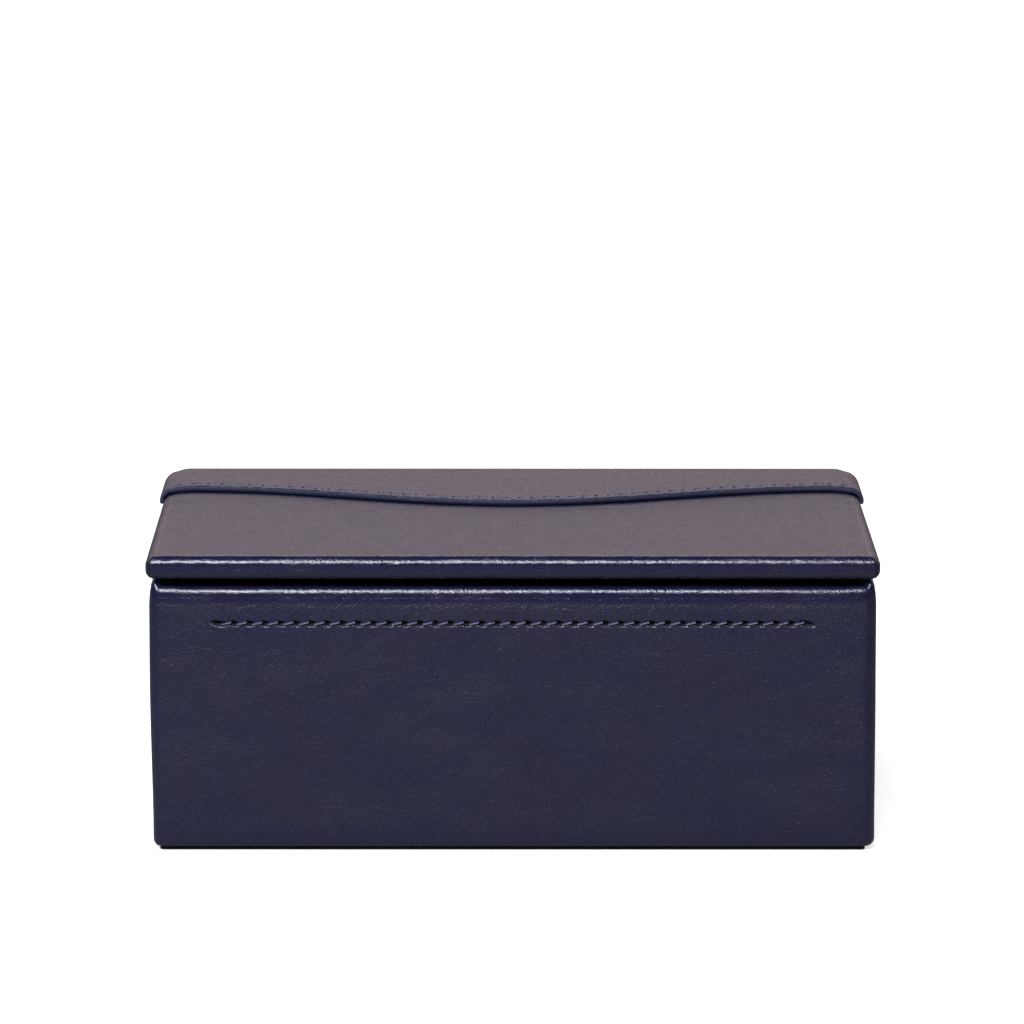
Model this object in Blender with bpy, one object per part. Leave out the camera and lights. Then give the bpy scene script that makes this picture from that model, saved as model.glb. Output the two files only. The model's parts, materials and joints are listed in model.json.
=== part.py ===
"""A leather desk box: leather-covered board walls, a flat lid, and a leather hinge.

The origin is on the floor under the middle of the box. X runs along the front,
the front faces -Y and +Z is up. All lengths are in metres.
"""
import math

import bmesh
import bpy
from mathutils import Matrix, Vector

# The case
BODY_WIDTH = 0.235
BOX_DEPTH = 0.168
BODY_HEIGHT = 0.0893
CORNER = 0.0045
LEAST_CORNER = 0.0005

# What fits keeps this much air
GAP = 0.0003

# Leather: full thickness on the faces, pared thinner where it is turned in
LEATHER = 0.002
PARED = 0.0014
RIM_ROUND = 0.0028
RIM_INNER_ROUND = 0.0024
FOOT_ROUND = 0.0026
TURN_IN = 0.016
TURN_UNDER = 0.014

# The front rim lies lower than the others, to leave a finger's gap under the lid
FRONT_DIP = 0.0024
DIP_RUN = 0.003

# Boards and base
BOARD = 0.0045
BOARD_EASE = 0.0007
BASE_LEATHER = 0.001
BASE_INSET = 0.003

# Linings
LINING = 0.001
LINING_DROP = 0.006
FLOOR_PAD = 0.0015

# The lid
LID_THICKNESS = 0.008
LID_OVERHANG = 0.0009
LID_ROUND = 0.0032
LID_UNDER_ROUND = 0.0024
LID_TURN = 0.015
LID_LINING_PLAY = 0.0012

# The yoke over the lid's back part, and the flap that carries it on down the back wall
YOKE = 0.0018
YOKE_SIDE = 0.0012
YOKE_SIDE_DROP = 0.0042
YOKE_END = 0.0445
YOKE_RISE = 0.028
OGEE_RUN = 0.110
FLAP_END = 0.022
FLAP_RISE = 0.020
HINGE_INSET = 0.0005
HINGE_FREE = 0.0025

# Sewing
THREAD = 0.0009
STITCH_LENGTH = 0.0031
STITCH_LIFT = 0.00015
THREAD_DIP = 0.00025
WALL_PITCH = 0.00499
YOKE_PITCH = 0.0046
SEAM_BELOW_RIM = 0.0116
SEAM_INSET = 0.024
EDGE_MARGIN = 0.004
SEAM_END = 0.0025

# Finishes: colour, roughness
NAVY_LEATHER = ((0.024, 0.024, 0.052), 0.42)
NAVY_THREAD = ((0.020, 0.020, 0.042), 0.7)
GREY_BOARD = ((0.27, 0.24, 0.19), 0.9)
TAN_SUEDE = ((0.36, 0.22, 0.12), 0.95)
GREY_FELT = ((0.20, 0.19, 0.18), 1.0)

# Curve resolution
ARC_STEPS = 4
CORNER_STEPS = 5
DIP_STEPS = 4
OGEE_STEPS = 30
SEAM_SAMPLES = 400
THREAD_SIDES = 6

# Worked out from the sizes above
stitch_proud = STITCH_LIFT + THREAD / 2
back_outer = BOX_DEPTH / 2 - stitch_proud
back_face = back_outer - YOKE - GAP
lid_front = -BOX_DEPTH / 2
body_front = lid_front + LID_OVERHANG
rim = BODY_HEIGHT
foot = BASE_LEATHER + GAP
lid_bottom = rim + GAP
lid_top = lid_bottom + LID_THICKNESS
board_foot = foot + PARED + GAP
board_outer = LEATHER + GAP
board_inner = board_outer + BOARD
rim_width = board_inner + GAP + PARED
base_top = board_foot + BOARD
lining_outer = board_inner + GAP
lining_step = rim_width + GAP
lining_inner = lining_step + LINING
seam_height = rim - FRONT_DIP - SEAM_BELOW_RIM
half_body = BODY_WIDTH / 2
half_lid = half_body + LID_OVERHANG
hinge_half = half_body - CORNER - HINGE_INSET
pivot = Vector((0, back_face + GAP + YOKE / 2, (rim + lid_bottom) / 2))

# Plan outlines: half width, front face, back face, corner radius
BODY_PLAN = (half_body, body_front, back_face, CORNER)
LID_PLAN = (half_lid, lid_front, back_face, CORNER)


def material(name, finish):
    colour, roughness = finish
    made = bpy.data.materials.get(name) or bpy.data.materials.new(name)
    made.use_nodes = True
    shader = made.node_tree.nodes["Principled BSDF"]
    shader.inputs["Base Color"].default_value = (*colour, 1)
    shader.inputs["Roughness"].default_value = roughness
    shader.inputs["Metallic"].default_value = 0
    made.diffuse_color = (*colour, 1)
    return made


def finished(name, shape, finish, rounded=True):
    """Close a bmesh into an object with its own material."""
    bmesh.ops.recalc_face_normals(shape, faces=shape.faces)
    mesh = bpy.data.meshes.new(name)
    shape.to_mesh(mesh)
    shape.free()
    if rounded:
        mesh.shade_smooth()
        mesh.set_sharp_from_angle(angle=math.radians(35))
    piece = bpy.data.objects.new(name, mesh)
    piece.data.materials.append(material(name + "_finish", finish))
    bpy.context.scene.collection.objects.link(piece)
    return piece


def arc(centre, radii, start, end, steps=ARC_STEPS):
    """Points on an ellipse's arc in a section, from one angle in degrees to another."""
    points = []
    for step in range(steps + 1):
        angle = math.radians(start + (end - start) * step / steps)
        points.append((centre[0] + radii[0] * math.cos(angle), centre[1] + radii[1] * math.sin(angle)))
    return points


def ease(share):
    return share * share * (3 - 2 * share)


def ring(plan, inset, height, dip=0.0, steps=CORNER_STEPS):
    """One level loop round the plan, inset from its faces, dipping along the front."""
    half, front, back, corner = plan
    radius = max(corner - inset, LEAST_CORNER)
    x = half - inset - radius
    y_front = front + inset + radius
    y_back = back - inset - radius
    points = []
    for centre_x, centre_y, start in ((x, y_front, -90), (x, y_back, 0), (-x, y_back, 90), (-x, y_front, 180)):
        for px, py in arc((centre_x, centre_y), (radius, radius), start, start + 90, steps):
            points.append(Vector((px, py, height)))
    for step in range(1, DIP_STEPS + 1):
        share = step / DIP_STEPS
        points.append(Vector((-x + DIP_RUN * share, front + inset, height - dip * ease(share))))
    for step in range(DIP_STEPS, 0, -1):
        share = step / DIP_STEPS
        points.append(Vector((x - DIP_RUN * share, front + inset, height - dip * ease(share))))
    return points


def lofted(rings, closed):
    """Skin a run of loops; a closed run joins its last loop to its first, an open one is capped."""
    shape = bmesh.new()
    loops = [[shape.verts.new(point) for point in loop] for loop in rings]
    pairs = list(zip(loops, loops[1:]))
    if closed:
        pairs.append((loops[-1], loops[0]))
    for lower, upper in pairs:
        for index in range(len(lower)):
            after = (index + 1) % len(lower)
            shape.faces.new((lower[index], lower[after], upper[after], upper[index]))
    if not closed:
        shape.faces.new(loops[0])
        shape.faces.new(loops[-1])
    return shape


def wall_ring(profile, steps=CORNER_STEPS):
    """Sweep a section (inset, height, dip) round the case."""
    return lofted([ring(BODY_PLAN, inset, height, dip, steps) for inset, height, dip in profile], True)


def with_dip(points, dip):
    return [(inset, height, dip) for inset, height in points]


def plate(plan, inset, bottom, top):
    return lofted([ring(plan, inset, bottom, steps=1), ring(plan, inset, top, steps=1)], False)


# The four walls: a name, and the way from the middle of the box to the wall
WALLS = (("front", Vector((0, -1, 0))), ("back", Vector((0, 1, 0))),
         ("left", Vector((-1, 0, 0))), ("right", Vector((1, 0, 0))))


def one_wall(shape, outward):
    """Cut one wall from a whole ring, with a mitre at each end and half a gap off each mitre."""
    sideways = Vector((-outward.y, outward.x, 0))
    for side in (1, -1):
        across = sideways * side
        corner_x = half_body if (outward + across).x > 0 else -half_body
        corner_y = back_face if (outward + across).y > 0 else body_front
        normal = (across - outward).normalized()
        point = Vector((corner_x, corner_y, 0)) - normal * GAP / 2
        everything = shape.verts[:] + shape.edges[:] + shape.faces[:]
        cut = bmesh.ops.bisect_plane(shape, geom=everything, dist=0, plane_co=point,
                                     plane_no=normal, clear_outer=True)
        rims = [item for item in cut["geom_cut"] if isinstance(item, bmesh.types.BMEdge)]
        bmesh.ops.edgenet_fill(shape, edges=rims)
    return shape


def make_wall_leather():
    """One skin: turned under the base, up the outside, over the rim and down inside."""
    profile = with_dip([(TURN_UNDER, foot)], 0)
    profile += with_dip(arc((FOOT_ROUND, foot + FOOT_ROUND), (FOOT_ROUND, FOOT_ROUND), 270, 180), 0)
    profile += with_dip(arc((RIM_ROUND, rim - RIM_ROUND), (RIM_ROUND, RIM_ROUND), 180, 90), FRONT_DIP)
    inner = (rim_width - RIM_INNER_ROUND, rim - RIM_INNER_ROUND)
    profile += with_dip(arc(inner, (RIM_INNER_ROUND, RIM_INNER_ROUND), 90, 0), FRONT_DIP)
    profile += with_dip([(rim_width, rim - TURN_IN), (rim_width - PARED, rim - TURN_IN)], 0)
    pared = (RIM_INNER_ROUND - PARED, RIM_INNER_ROUND - LEATHER)
    profile += with_dip(arc(inner, pared, 0, 90), FRONT_DIP)
    under_rim = (RIM_ROUND - LEATHER, RIM_ROUND - LEATHER)
    profile += with_dip(arc((RIM_ROUND, rim - RIM_ROUND), under_rim, 90, 180), FRONT_DIP)
    in_foot = (FOOT_ROUND - LEATHER, FOOT_ROUND - PARED)
    profile += with_dip(arc((FOOT_ROUND, foot + FOOT_ROUND), in_foot, 180, 270), 0)
    profile += with_dip([(TURN_UNDER, foot + PARED)], 0)
    return finished("wall_leather", wall_ring(profile), NAVY_LEATHER)


def board_profile():
    """The wall boards' section, eased where the leather bends round it."""
    top = rim - board_outer
    foot_radii = (FOOT_ROUND - board_outer, FOOT_ROUND - PARED - GAP)
    profile = with_dip(arc((FOOT_ROUND, foot + FOOT_ROUND), foot_radii, 270, 180), 0)
    rim_radii = (RIM_ROUND - board_outer, RIM_ROUND - board_outer)
    profile += with_dip(arc((RIM_ROUND, rim - RIM_ROUND), rim_radii, 180, 90), FRONT_DIP)
    eased = (board_inner - BOARD_EASE, top - BOARD_EASE)
    profile += with_dip(arc(eased, (BOARD_EASE, BOARD_EASE), 90, 0, 2), FRONT_DIP)
    profile += with_dip([(board_inner, board_foot)], 0)
    return profile


def make_wall_boards():
    for name, outward in WALLS:
        finished(name + "_board", one_wall(wall_ring(board_profile()), outward), GREY_BOARD)


def make_linings():
    """Suede-covered cards: thick below the turned-in leather, thin where they overlap it."""
    step_height = rim - TURN_IN - GAP
    top = rim - LINING_DROP
    bottom = base_top + GAP
    section = [(lining_outer, bottom), (lining_outer, step_height), (lining_step, step_height),
               (lining_step, top), (lining_inner, top), (lining_inner, bottom)]
    for name, outward in WALLS:
        shape = one_wall(wall_ring(with_dip(section, 0), 1), outward)
        finished(name + "_lining", shape, TAN_SUEDE, rounded=False)


def make_base():
    finished("base_leather", plate(BODY_PLAN, BASE_INSET, 0, BASE_LEATHER), NAVY_LEATHER, rounded=False)
    filler = plate(BODY_PLAN, TURN_UNDER + GAP, foot, foot + PARED)
    finished("base_filler", filler, GREY_BOARD, rounded=False)
    finished("base_board", plate(BODY_PLAN, lining_outer, board_foot, base_top), GREY_BOARD, rounded=False)
    pad_bottom = base_top + GAP
    pad_top = pad_bottom + FLOOR_PAD
    floor_inset = lining_inner + GAP
    finished("floor_pad", plate(BODY_PLAN, floor_inset, pad_bottom, pad_top), GREY_FELT, rounded=False)
    floor = plate(BODY_PLAN, floor_inset, pad_top + GAP, pad_top + GAP + LINING)
    finished("floor_lining", floor, TAN_SUEDE, rounded=False)


def make_lid_core():
    """The lid's leather, folded under all round, its board, and the suede panel in the mouth."""
    top_centre = (LID_ROUND, lid_top - LID_ROUND)
    under_centre = (LID_UNDER_ROUND, lid_bottom + LID_UNDER_ROUND)
    section = arc(top_centre, (LID_ROUND, LID_ROUND), 90, 180)
    section += arc(under_centre, (LID_UNDER_ROUND, LID_UNDER_ROUND), 180, 270)
    section += [(LID_TURN, lid_bottom), (LID_TURN, lid_bottom + PARED)]
    section += arc(under_centre, (LID_UNDER_ROUND - LEATHER, LID_UNDER_ROUND - PARED), 270, 180)
    section += arc(top_centre, (LID_ROUND - LEATHER, LID_ROUND - LEATHER), 180, 90)
    skin = lofted([ring(LID_PLAN, inset, height) for inset, height in section], False)
    leather = finished("lid_leather", skin, NAVY_LEATHER)

    under_radii = (LID_UNDER_ROUND - board_outer, LID_UNDER_ROUND - PARED - GAP)
    core = arc(under_centre, under_radii, 270, 180, 2)
    core += arc(top_centre, (LID_ROUND - board_outer, LID_ROUND - board_outer), 180, 90)
    shape = lofted([ring(LID_PLAN, inset, height) for inset, height in core], False)
    board = finished("lid_board", shape, GREY_BOARD)

    panel_top = lid_bottom - GAP
    panel_inset = lining_inner + LID_LINING_PLAY
    plug_inset = LID_TURN + GAP
    plug_top = lid_bottom + PARED
    levels = [ring(BODY_PLAN, panel_inset, panel_top - LINING, steps=1),
              ring(BODY_PLAN, panel_inset, panel_top, steps=1),
              ring(LID_PLAN, plug_inset, panel_top, steps=1),
              ring(LID_PLAN, plug_inset, plug_top, steps=1)]
    lining = finished("lid_lining", lofted(levels, False), TAN_SUEDE, rounded=False)
    return [leather, board, lining]


def ogee(x, end, rise):
    """How far the ogee edge reaches at x: end at the sides, end plus rise in the middle."""
    if abs(x) >= OGEE_RUN:
        return end
    return end + rise * (1 + math.cos(math.pi * x / OGEE_RUN)) / 2


def sheet(inner, outer, cells):
    """A leather sheet from a grid of inner points, the outer points over them, and its cells."""
    shape = bmesh.new()
    below = {key: shape.verts.new(point) for key, point in inner.items()}
    above = {key: shape.verts.new(point) for key, point in outer.items()}
    edges = {}
    for column, row in cells:
        corners = [(column, row), (column + 1, row), (column + 1, row + 1), (column, row + 1)]
        shape.faces.new([above[key] for key in corners])
        shape.faces.new([below[key] for key in reversed(corners)])
        for start, end in zip(corners, corners[1:] + corners[:1]):
            if (end, start) in edges:
                del edges[(end, start)]
            else:
                edges[(start, end)] = True
    for start, end in edges:
        shape.faces.new((above[end], above[start], below[start], below[end]))
    return shape


def hinge_columns():
    return [hinge_half * (2 * step / OGEE_STEPS - 1) for step in range(OGEE_STEPS + 1)]


def make_yoke():
    """Over the lid's top and sides as one band, and down its back between the corners."""
    side_centre = (half_lid - LID_ROUND, lid_top - LID_ROUND)
    side_inner = (LID_ROUND + GAP, LID_ROUND + GAP)
    side_outer = (LID_ROUND + GAP + YOKE_SIDE, LID_ROUND + GAP + YOKE)
    side_foot = lid_top - YOKE_SIDE_DROP
    half_inner = [(half_lid + GAP, side_foot)] + arc(side_centre, side_inner, 0, 90)
    half_outer = [(half_lid + GAP + YOKE_SIDE, side_foot)] + arc(side_centre, side_outer, 0, 90)
    flat = hinge_columns()
    low, high = lid_top + GAP, lid_top + GAP + YOKE
    across_inner = [(-x, z) for x, z in half_inner] + [(x, low) for x in flat] + half_inner[::-1]
    across_outer = [(-x, z) for x, z in half_outer] + [(x, high) for x in flat] + half_outer[::-1]

    back_centre = (back_face - LID_ROUND, lid_top - LID_ROUND)
    back_inner = arc(back_centre, (LID_ROUND + GAP, LID_ROUND + GAP), 90, 0)
    back_inner.append((back_face + GAP, pivot.z + HINGE_FREE))
    back_outside = arc(back_centre, (LID_ROUND + GAP + YOKE, LID_ROUND + GAP + YOKE), 90, 0)
    back_outside.append((back_outer, pivot.z + HINGE_FREE))
    notch = back_face - CORNER - HINGE_INSET

    inner, outer, cells = {}, {}, []
    first, last = len(half_inner), len(half_inner) + len(flat) - 1
    for column, ((xi, zi), (xo, zo)) in enumerate(zip(across_inner, across_outer)):
        edge = back_outer - ogee(xi, YOKE_END, YOKE_RISE)
        for row, y in enumerate((edge, notch)):
            inner[(column, row)] = Vector((xi, y, zi))
            outer[(column, row)] = Vector((xo, y, zo))
        if column + 1 < len(across_inner):
            cells.append((column, 0))
        if first <= column <= last:
            for row, ((yi, zi), (yo, zo)) in enumerate(zip(back_inner, back_outside), 2):
                inner[(column, row)] = Vector((xi, yi, zi))
                outer[(column, row)] = Vector((xi, yo, zo))
                if column < last:
                    cells.append((column, row - 1))
    return finished("yoke", sheet(inner, outer, cells), NAVY_LEATHER)


def make_back_flap():
    """The hinge's fixed leaf: flat on the back wall, with the ogee edge pointing down."""
    top = pivot.z - HINGE_FREE
    inner, outer, cells = {}, {}, []
    columns = hinge_columns()
    for column, x in enumerate(columns):
        edge = rim - ogee(x, FLAP_END, FLAP_RISE)
        for row, z in enumerate((top, edge)):
            inner[(column, row)] = Vector((x, back_face + GAP, z))
            outer[(column, row)] = Vector((x, back_outer, z))
        if column + 1 < len(columns):
            cells.append((column, 0))
    return finished("back_flap", sheet(inner, outer, cells), NAVY_LEATHER)


def make_hinge_strip():
    reach = HINGE_FREE - GAP
    inner, outer = {}, {}
    for column, x in enumerate((-hinge_half, hinge_half)):
        for row, z in enumerate((pivot.z - reach, pivot.z + reach)):
            inner[(column, row)] = Vector((x, back_face + GAP, z))
            outer[(column, row)] = Vector((x, back_outer, z))
    return finished("hinge_strip", sheet(inner, outer, [(0, 0)]), NAVY_LEATHER, rounded=False)


def straight_seam(start, end, outward):
    """Places along a straight seam: a centre, the way along, and the way out of the leather."""
    along = (end - start).normalized()
    count = int((end - start).length / WALL_PITCH) + 1
    middle = (start + end) / 2
    places = []
    for index in range(count):
        centre = middle + along * WALL_PITCH * (index - (count - 1) / 2)
        places.append((centre, along, outward))
    return places


def ogee_seam(point_at, limit, outward, pitch):
    """Places at an even pitch along a curved edge, set back from it by the edge margin."""
    samples = [point_at(limit * (2 * step / SEAM_SAMPLES - 1)) for step in range(SEAM_SAMPLES + 1)]
    lengths = [0]
    for before, after in zip(samples, samples[1:]):
        lengths.append(lengths[-1] + (after - before).length)
    count = int(lengths[-1] / pitch) + 1
    start = (lengths[-1] - pitch * (count - 1)) / 2
    places = []
    sample = 0
    for index in range(count):
        target = start + pitch * index
        while lengths[sample + 1] < target and sample + 2 < len(samples):
            sample += 1
        run = lengths[sample + 1] - lengths[sample]
        along = (samples[sample + 1] - samples[sample]).normalized()
        on_edge = samples[sample] + along * (target - lengths[sample])
        places.append((on_edge + outward.cross(along) * EDGE_MARGIN, along, outward))
    return places


def tube(points, outward, width):
    """A capped tube with flat sides along a run of points."""
    rings = []
    last = len(points) - 1
    for index, point in enumerate(points):
        along = (points[min(index + 1, last)] - points[max(index - 1, 0)]).normalized()
        side = outward.cross(along)
        up = along.cross(side)
        loop = []
        for step in range(THREAD_SIDES):
            angle = 2 * math.pi * step / THREAD_SIDES
            loop.append(point + (up * math.cos(angle) + side * math.sin(angle)) * width / 2)
        rings.append(loop)
    return lofted(rings, False)


def thread_line(places):
    """One thread for the whole seam: along the top of each stitch, and down between stitches."""
    line = []
    for centre, along, outward in places:
        for way in (-1, 1):
            line.append(centre + along * STITCH_LENGTH / 2 * way + outward * STITCH_LIFT)
    dips = []
    for index in range(1, len(line) - 1, 2):
        outward = places[index // 2][2]
        dips.append((line[index] + line[index + 1]) / 2 - outward * (STITCH_LIFT + THREAD_DIP))
    woven = [line[0], line[1]]
    for dip, index in zip(dips, range(2, len(line), 2)):
        woven += [dip, line[index], line[index + 1]]
    return woven


def groove_line(places):
    """The groove's floor line runs from just before the first stitch to just past the last."""
    middles = [centre - outward * THREAD_DIP for centre, along, outward in places]
    overrun = STITCH_LENGTH / 2 + GAP
    first = middles[0] - places[0][1] * overrun
    last = middles[-1] + places[-1][1] * overrun
    return [first] + middles + [last]


def sew(name, leather, places):
    """The thread, and the groove in the leather that it lies in."""
    outward = places[0][2]
    cutter = finished(name + "_groove", tube(groove_line(places), outward, THREAD + 2 * GAP), NAVY_LEATHER)
    cutter.hide_render = True
    cutter.display_type = "WIRE"
    cut = leather.modifiers.new(name, "BOOLEAN")
    cut.operation = "DIFFERENCE"
    cut.solver = "EXACT"
    cut.object = cutter
    return finished(name, tube(thread_line(places), outward, THREAD), NAVY_THREAD)


def sew_walls(leather):
    reach = half_body - SEAM_INSET
    start = Vector((-reach, body_front, seam_height))
    end = Vector((reach, body_front, seam_height))
    sew("front_stitching", leather, straight_seam(start, end, Vector((0, -1, 0))))
    for name, side in (("left", -1), ("right", 1)):
        near = Vector((half_body * side, body_front + SEAM_INSET, seam_height))
        far = Vector((half_body * side, back_face - SEAM_INSET, seam_height))
        first, last = (near, far) if side > 0 else (far, near)
        sew(name + "_stitching", leather, straight_seam(first, last, Vector((side, 0, 0))))


def sew_yoke(yoke):
    def edge(x):
        return Vector((x, back_outer - ogee(x, YOKE_END, YOKE_RISE), lid_top + GAP + YOKE))

    limit = half_lid - LID_ROUND - SEAM_END
    return sew("yoke_stitching", yoke, ogee_seam(edge, limit, Vector((0, 0, 1)), YOKE_PITCH))


def sew_back_flap(flap):
    def edge(x):
        return Vector((-x, back_outer, rim - ogee(x, FLAP_END, FLAP_RISE)))

    limit = hinge_half - SEAM_END
    return sew("back_stitching", flap, ogee_seam(edge, limit, Vector((0, 1, 0)), YOKE_PITCH))


def hang_lid(pieces):
    """Everything on the lid turns about the bend line of the hinge leather."""
    hinge = bpy.data.objects.new("lid_hinge", None)
    hinge.location = pivot
    bpy.context.scene.collection.objects.link(hinge)
    for piece in pieces:
        piece.parent = hinge
        piece.matrix_parent_inverse = Matrix.Translation(-pivot)


def main():
    for old in list(bpy.data.objects):
        bpy.data.objects.remove(old, do_unlink=True)
    make_base()
    make_wall_boards()
    make_linings()
    leather = make_wall_leather()
    sew_walls(leather)
    flap = make_back_flap()
    sew_back_flap(flap)
    make_hinge_strip()
    lid_pieces = make_lid_core()
    yoke = make_yoke()
    lid_pieces += [yoke, sew_yoke(yoke)]
    hang_lid(lid_pieces)


main()
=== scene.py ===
# %% [markdown]
# # A leather desk box
# The object is a stiff box covered in thick navy leather. A second piece of the same leather lies
# over the back of the lid, bends down as the hinge and is sewn to the back wall. Blender could
# make it from a few bevelled cubes, but leather shows its softness exactly where such cubes are
# too clean: at the folded rims, at the pricked holes of a seam and at a cut edge. So each skin
# here is swept from a measured section on a grid that is fine enough to hold those details.

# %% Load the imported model
import json
import math

import bpy
import numpy as np
from mathutils import Euler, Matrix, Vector

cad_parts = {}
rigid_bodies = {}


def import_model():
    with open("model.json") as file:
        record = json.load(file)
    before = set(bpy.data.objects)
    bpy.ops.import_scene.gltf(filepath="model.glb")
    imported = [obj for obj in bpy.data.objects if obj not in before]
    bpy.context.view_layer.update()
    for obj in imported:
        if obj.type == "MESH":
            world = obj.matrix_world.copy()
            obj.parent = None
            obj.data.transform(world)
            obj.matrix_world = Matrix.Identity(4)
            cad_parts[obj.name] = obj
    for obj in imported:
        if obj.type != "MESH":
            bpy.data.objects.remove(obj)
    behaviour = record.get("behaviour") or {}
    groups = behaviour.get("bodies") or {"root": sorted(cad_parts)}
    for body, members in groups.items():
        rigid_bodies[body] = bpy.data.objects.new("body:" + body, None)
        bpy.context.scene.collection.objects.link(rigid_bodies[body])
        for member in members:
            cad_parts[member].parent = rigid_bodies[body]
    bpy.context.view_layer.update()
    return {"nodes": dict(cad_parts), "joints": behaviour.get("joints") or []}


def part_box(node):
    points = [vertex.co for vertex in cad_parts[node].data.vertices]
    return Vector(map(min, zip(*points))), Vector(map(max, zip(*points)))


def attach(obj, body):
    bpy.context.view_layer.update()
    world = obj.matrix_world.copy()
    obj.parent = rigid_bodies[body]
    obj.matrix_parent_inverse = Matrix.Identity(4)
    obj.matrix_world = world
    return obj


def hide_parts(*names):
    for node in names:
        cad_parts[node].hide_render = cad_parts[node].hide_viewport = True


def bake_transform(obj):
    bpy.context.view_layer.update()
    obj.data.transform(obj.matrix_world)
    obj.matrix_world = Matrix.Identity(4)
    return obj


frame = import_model()
MM = 0.001

# %% [markdown]
# ## Sizes
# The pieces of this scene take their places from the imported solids, so nothing has to be fitted
# by hand. Only what those solids can't tell is written here, such as how thick the leather is and
# how round it folds.

# %% Read the places of the main pieces
body_low, body_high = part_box("wall_leather")
lid_low, lid_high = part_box("lid_leather")
yoke_low, yoke_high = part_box("yoke")
flap_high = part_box("back_flap")[1]
strip_low, strip_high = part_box("hinge_strip")
pivot = Vector(frame["joints"][0]["pos_m"])
rim = body_high.z
hinge_half = flap_high.x
back_outer = flap_high.y
print("rim", round(rim / MM, 2), "lid", round(lid_low.z / MM, 2), "to", round(lid_high.z / MM, 2))

# %% Name the leather's own sizes
LEATHER = 2.0 * MM
PARED = 1.4 * MM
GLUE = 0.3 * MM
CORNER = 4.5 * MM
LEAST_CORNER = 0.5 * MM
LID_CORNER = 2.4 * MM
RIM_ROUND = 2.8 * MM
RIM_INNER_ROUND = 2.4 * MM
FOOT_ROUND = 2.6 * MM
RIM_WIDTH = 8.5 * MM
TURN_IN = 16 * MM
TURN_UNDER = 14 * MM
FRONT_DIP = 2.4 * MM
LID_ROUND = 3.2 * MM
LID_UNDER_ROUND = 2.9 * MM
LID_TURN = 15 * MM
roll_z = lid_high.z - LID_ROUND
YOKE_SIDE = 1.2 * MM
YOKE_SIDE_DROP = 4.2 * MM
YOKE_END = 44.5 * MM
YOKE_RISE = 28 * MM
FLAP_END = 22 * MM
FLAP_RISE = 20 * MM
OGEE_RUN = 110 * MM
THREAD = 0.72 * MM
STITCH = 2.8 * MM
WALL_PITCH = 4.99 * MM
YOKE_PITCH = 4.6 * MM
SEAM_BELOW_RIM = 11.6 * MM
SEAM_INSET = 24 * MM
EDGE_MARGIN = 4 * MM
SEAM_STEP = 0.32 * MM
body_plan = (body_high.x, body_low.y, body_high.y, CORNER)
lid_plan = (lid_high.x, lid_low.y, lid_high.y, LID_CORNER)
seam_height = rim - FRONT_DIP - SEAM_BELOW_RIM

# %% [markdown]
# ## The camera
# The photo was taken from a little over two metres away with a long lens, so the box shows hardly
# any perspective. The camera stands almost straight before the box and looks down by ten degrees.

# %% Place the camera
PICTURE = 1024
FOCAL_PIXELS = 6385
SENSOR = 36
CAMERA_PLACE = Vector((-6, -2104, 463.1)) * MM
LOOKS_DOWN, ROLLS, TURNS = 9.86, -0.05, -0.153
camera_data = bpy.data.cameras.new("camera")
camera_data.sensor_width = SENSOR
camera_data.lens = FOCAL_PIXELS / PICTURE * SENSOR
camera = bpy.data.objects.new("camera", camera_data)
camera.location = CAMERA_PLACE
camera.rotation_euler = Euler([math.radians(turn) for turn in (90 - LOOKS_DOWN, ROLLS, TURNS)])
bpy.context.scene.collection.objects.link(camera)
bpy.context.scene.camera = camera
print("lens in mm:", round(camera_data.lens, 1))

# %% [markdown]
# ## Grids
# A skin is a grid of points: rows go along its section and columns along its length. One helper
# turns any such grid into a mesh, smooth-shaded and with the place of each point stored as an
# attribute. The materials read that attribute, so their grain stays where it is when the leather
# bends at the hinge.

# %% Make a mesh from points and faces
def new_piece(name, points, faces, marks=None):
    """An object from points and faces, with one number per point for each named mark."""
    mesh = bpy.data.meshes.new(name)
    mesh.from_pydata([tuple(p) for p in points], [], [tuple(f) for f in faces])
    mesh.validate()
    mesh.shade_smooth()
    place = mesh.attributes.new("place", "FLOAT_VECTOR", "POINT")
    place.data.foreach_set("vector", np.asarray(points, np.float32).ravel())
    for mark, values in (marks or {}).items():
        attribute = mesh.attributes.new(mark, "FLOAT", "POINT")
        attribute.data.foreach_set("value", np.asarray(values, np.float32).ravel())
    piece = bpy.data.objects.new(name, mesh)
    bpy.context.scene.collection.objects.link(piece)
    return piece


# %% Skin a grid that is closed both ways
def swept_ring(name, grid, marks=None):
    """A closed tube bent into a closed ring, from a grid of rows by columns."""
    rows, columns = grid.shape[:2]
    index = np.arange(rows * columns).reshape(rows, columns)
    right = np.roll(index, -1, axis=1)
    below, below_right = np.roll(index, -1, axis=0), np.roll(right, -1, axis=0)
    faces = np.stack([index, right, below_right, below], axis=-1).reshape(-1, 4)
    return new_piece(name, grid.reshape(-1, 3), faces, marks)


# %% Skin a stack of loops with a cap at each end
def capped_stack(name, grid, marks=None):
    """Closed loops skinned one to the next, the first and the last filled."""
    rows, columns = grid.shape[:2]
    index = np.arange(rows * columns).reshape(rows, columns)
    right = np.roll(index, -1, axis=1)
    faces = np.stack([index[:-1], right[:-1], right[1:], index[1:]], axis=-1).reshape(-1, 4).tolist()
    faces += [index[0][::-1].tolist(), index[-1].tolist()]
    return new_piece(name, grid.reshape(-1, 3), faces, marks)


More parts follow.
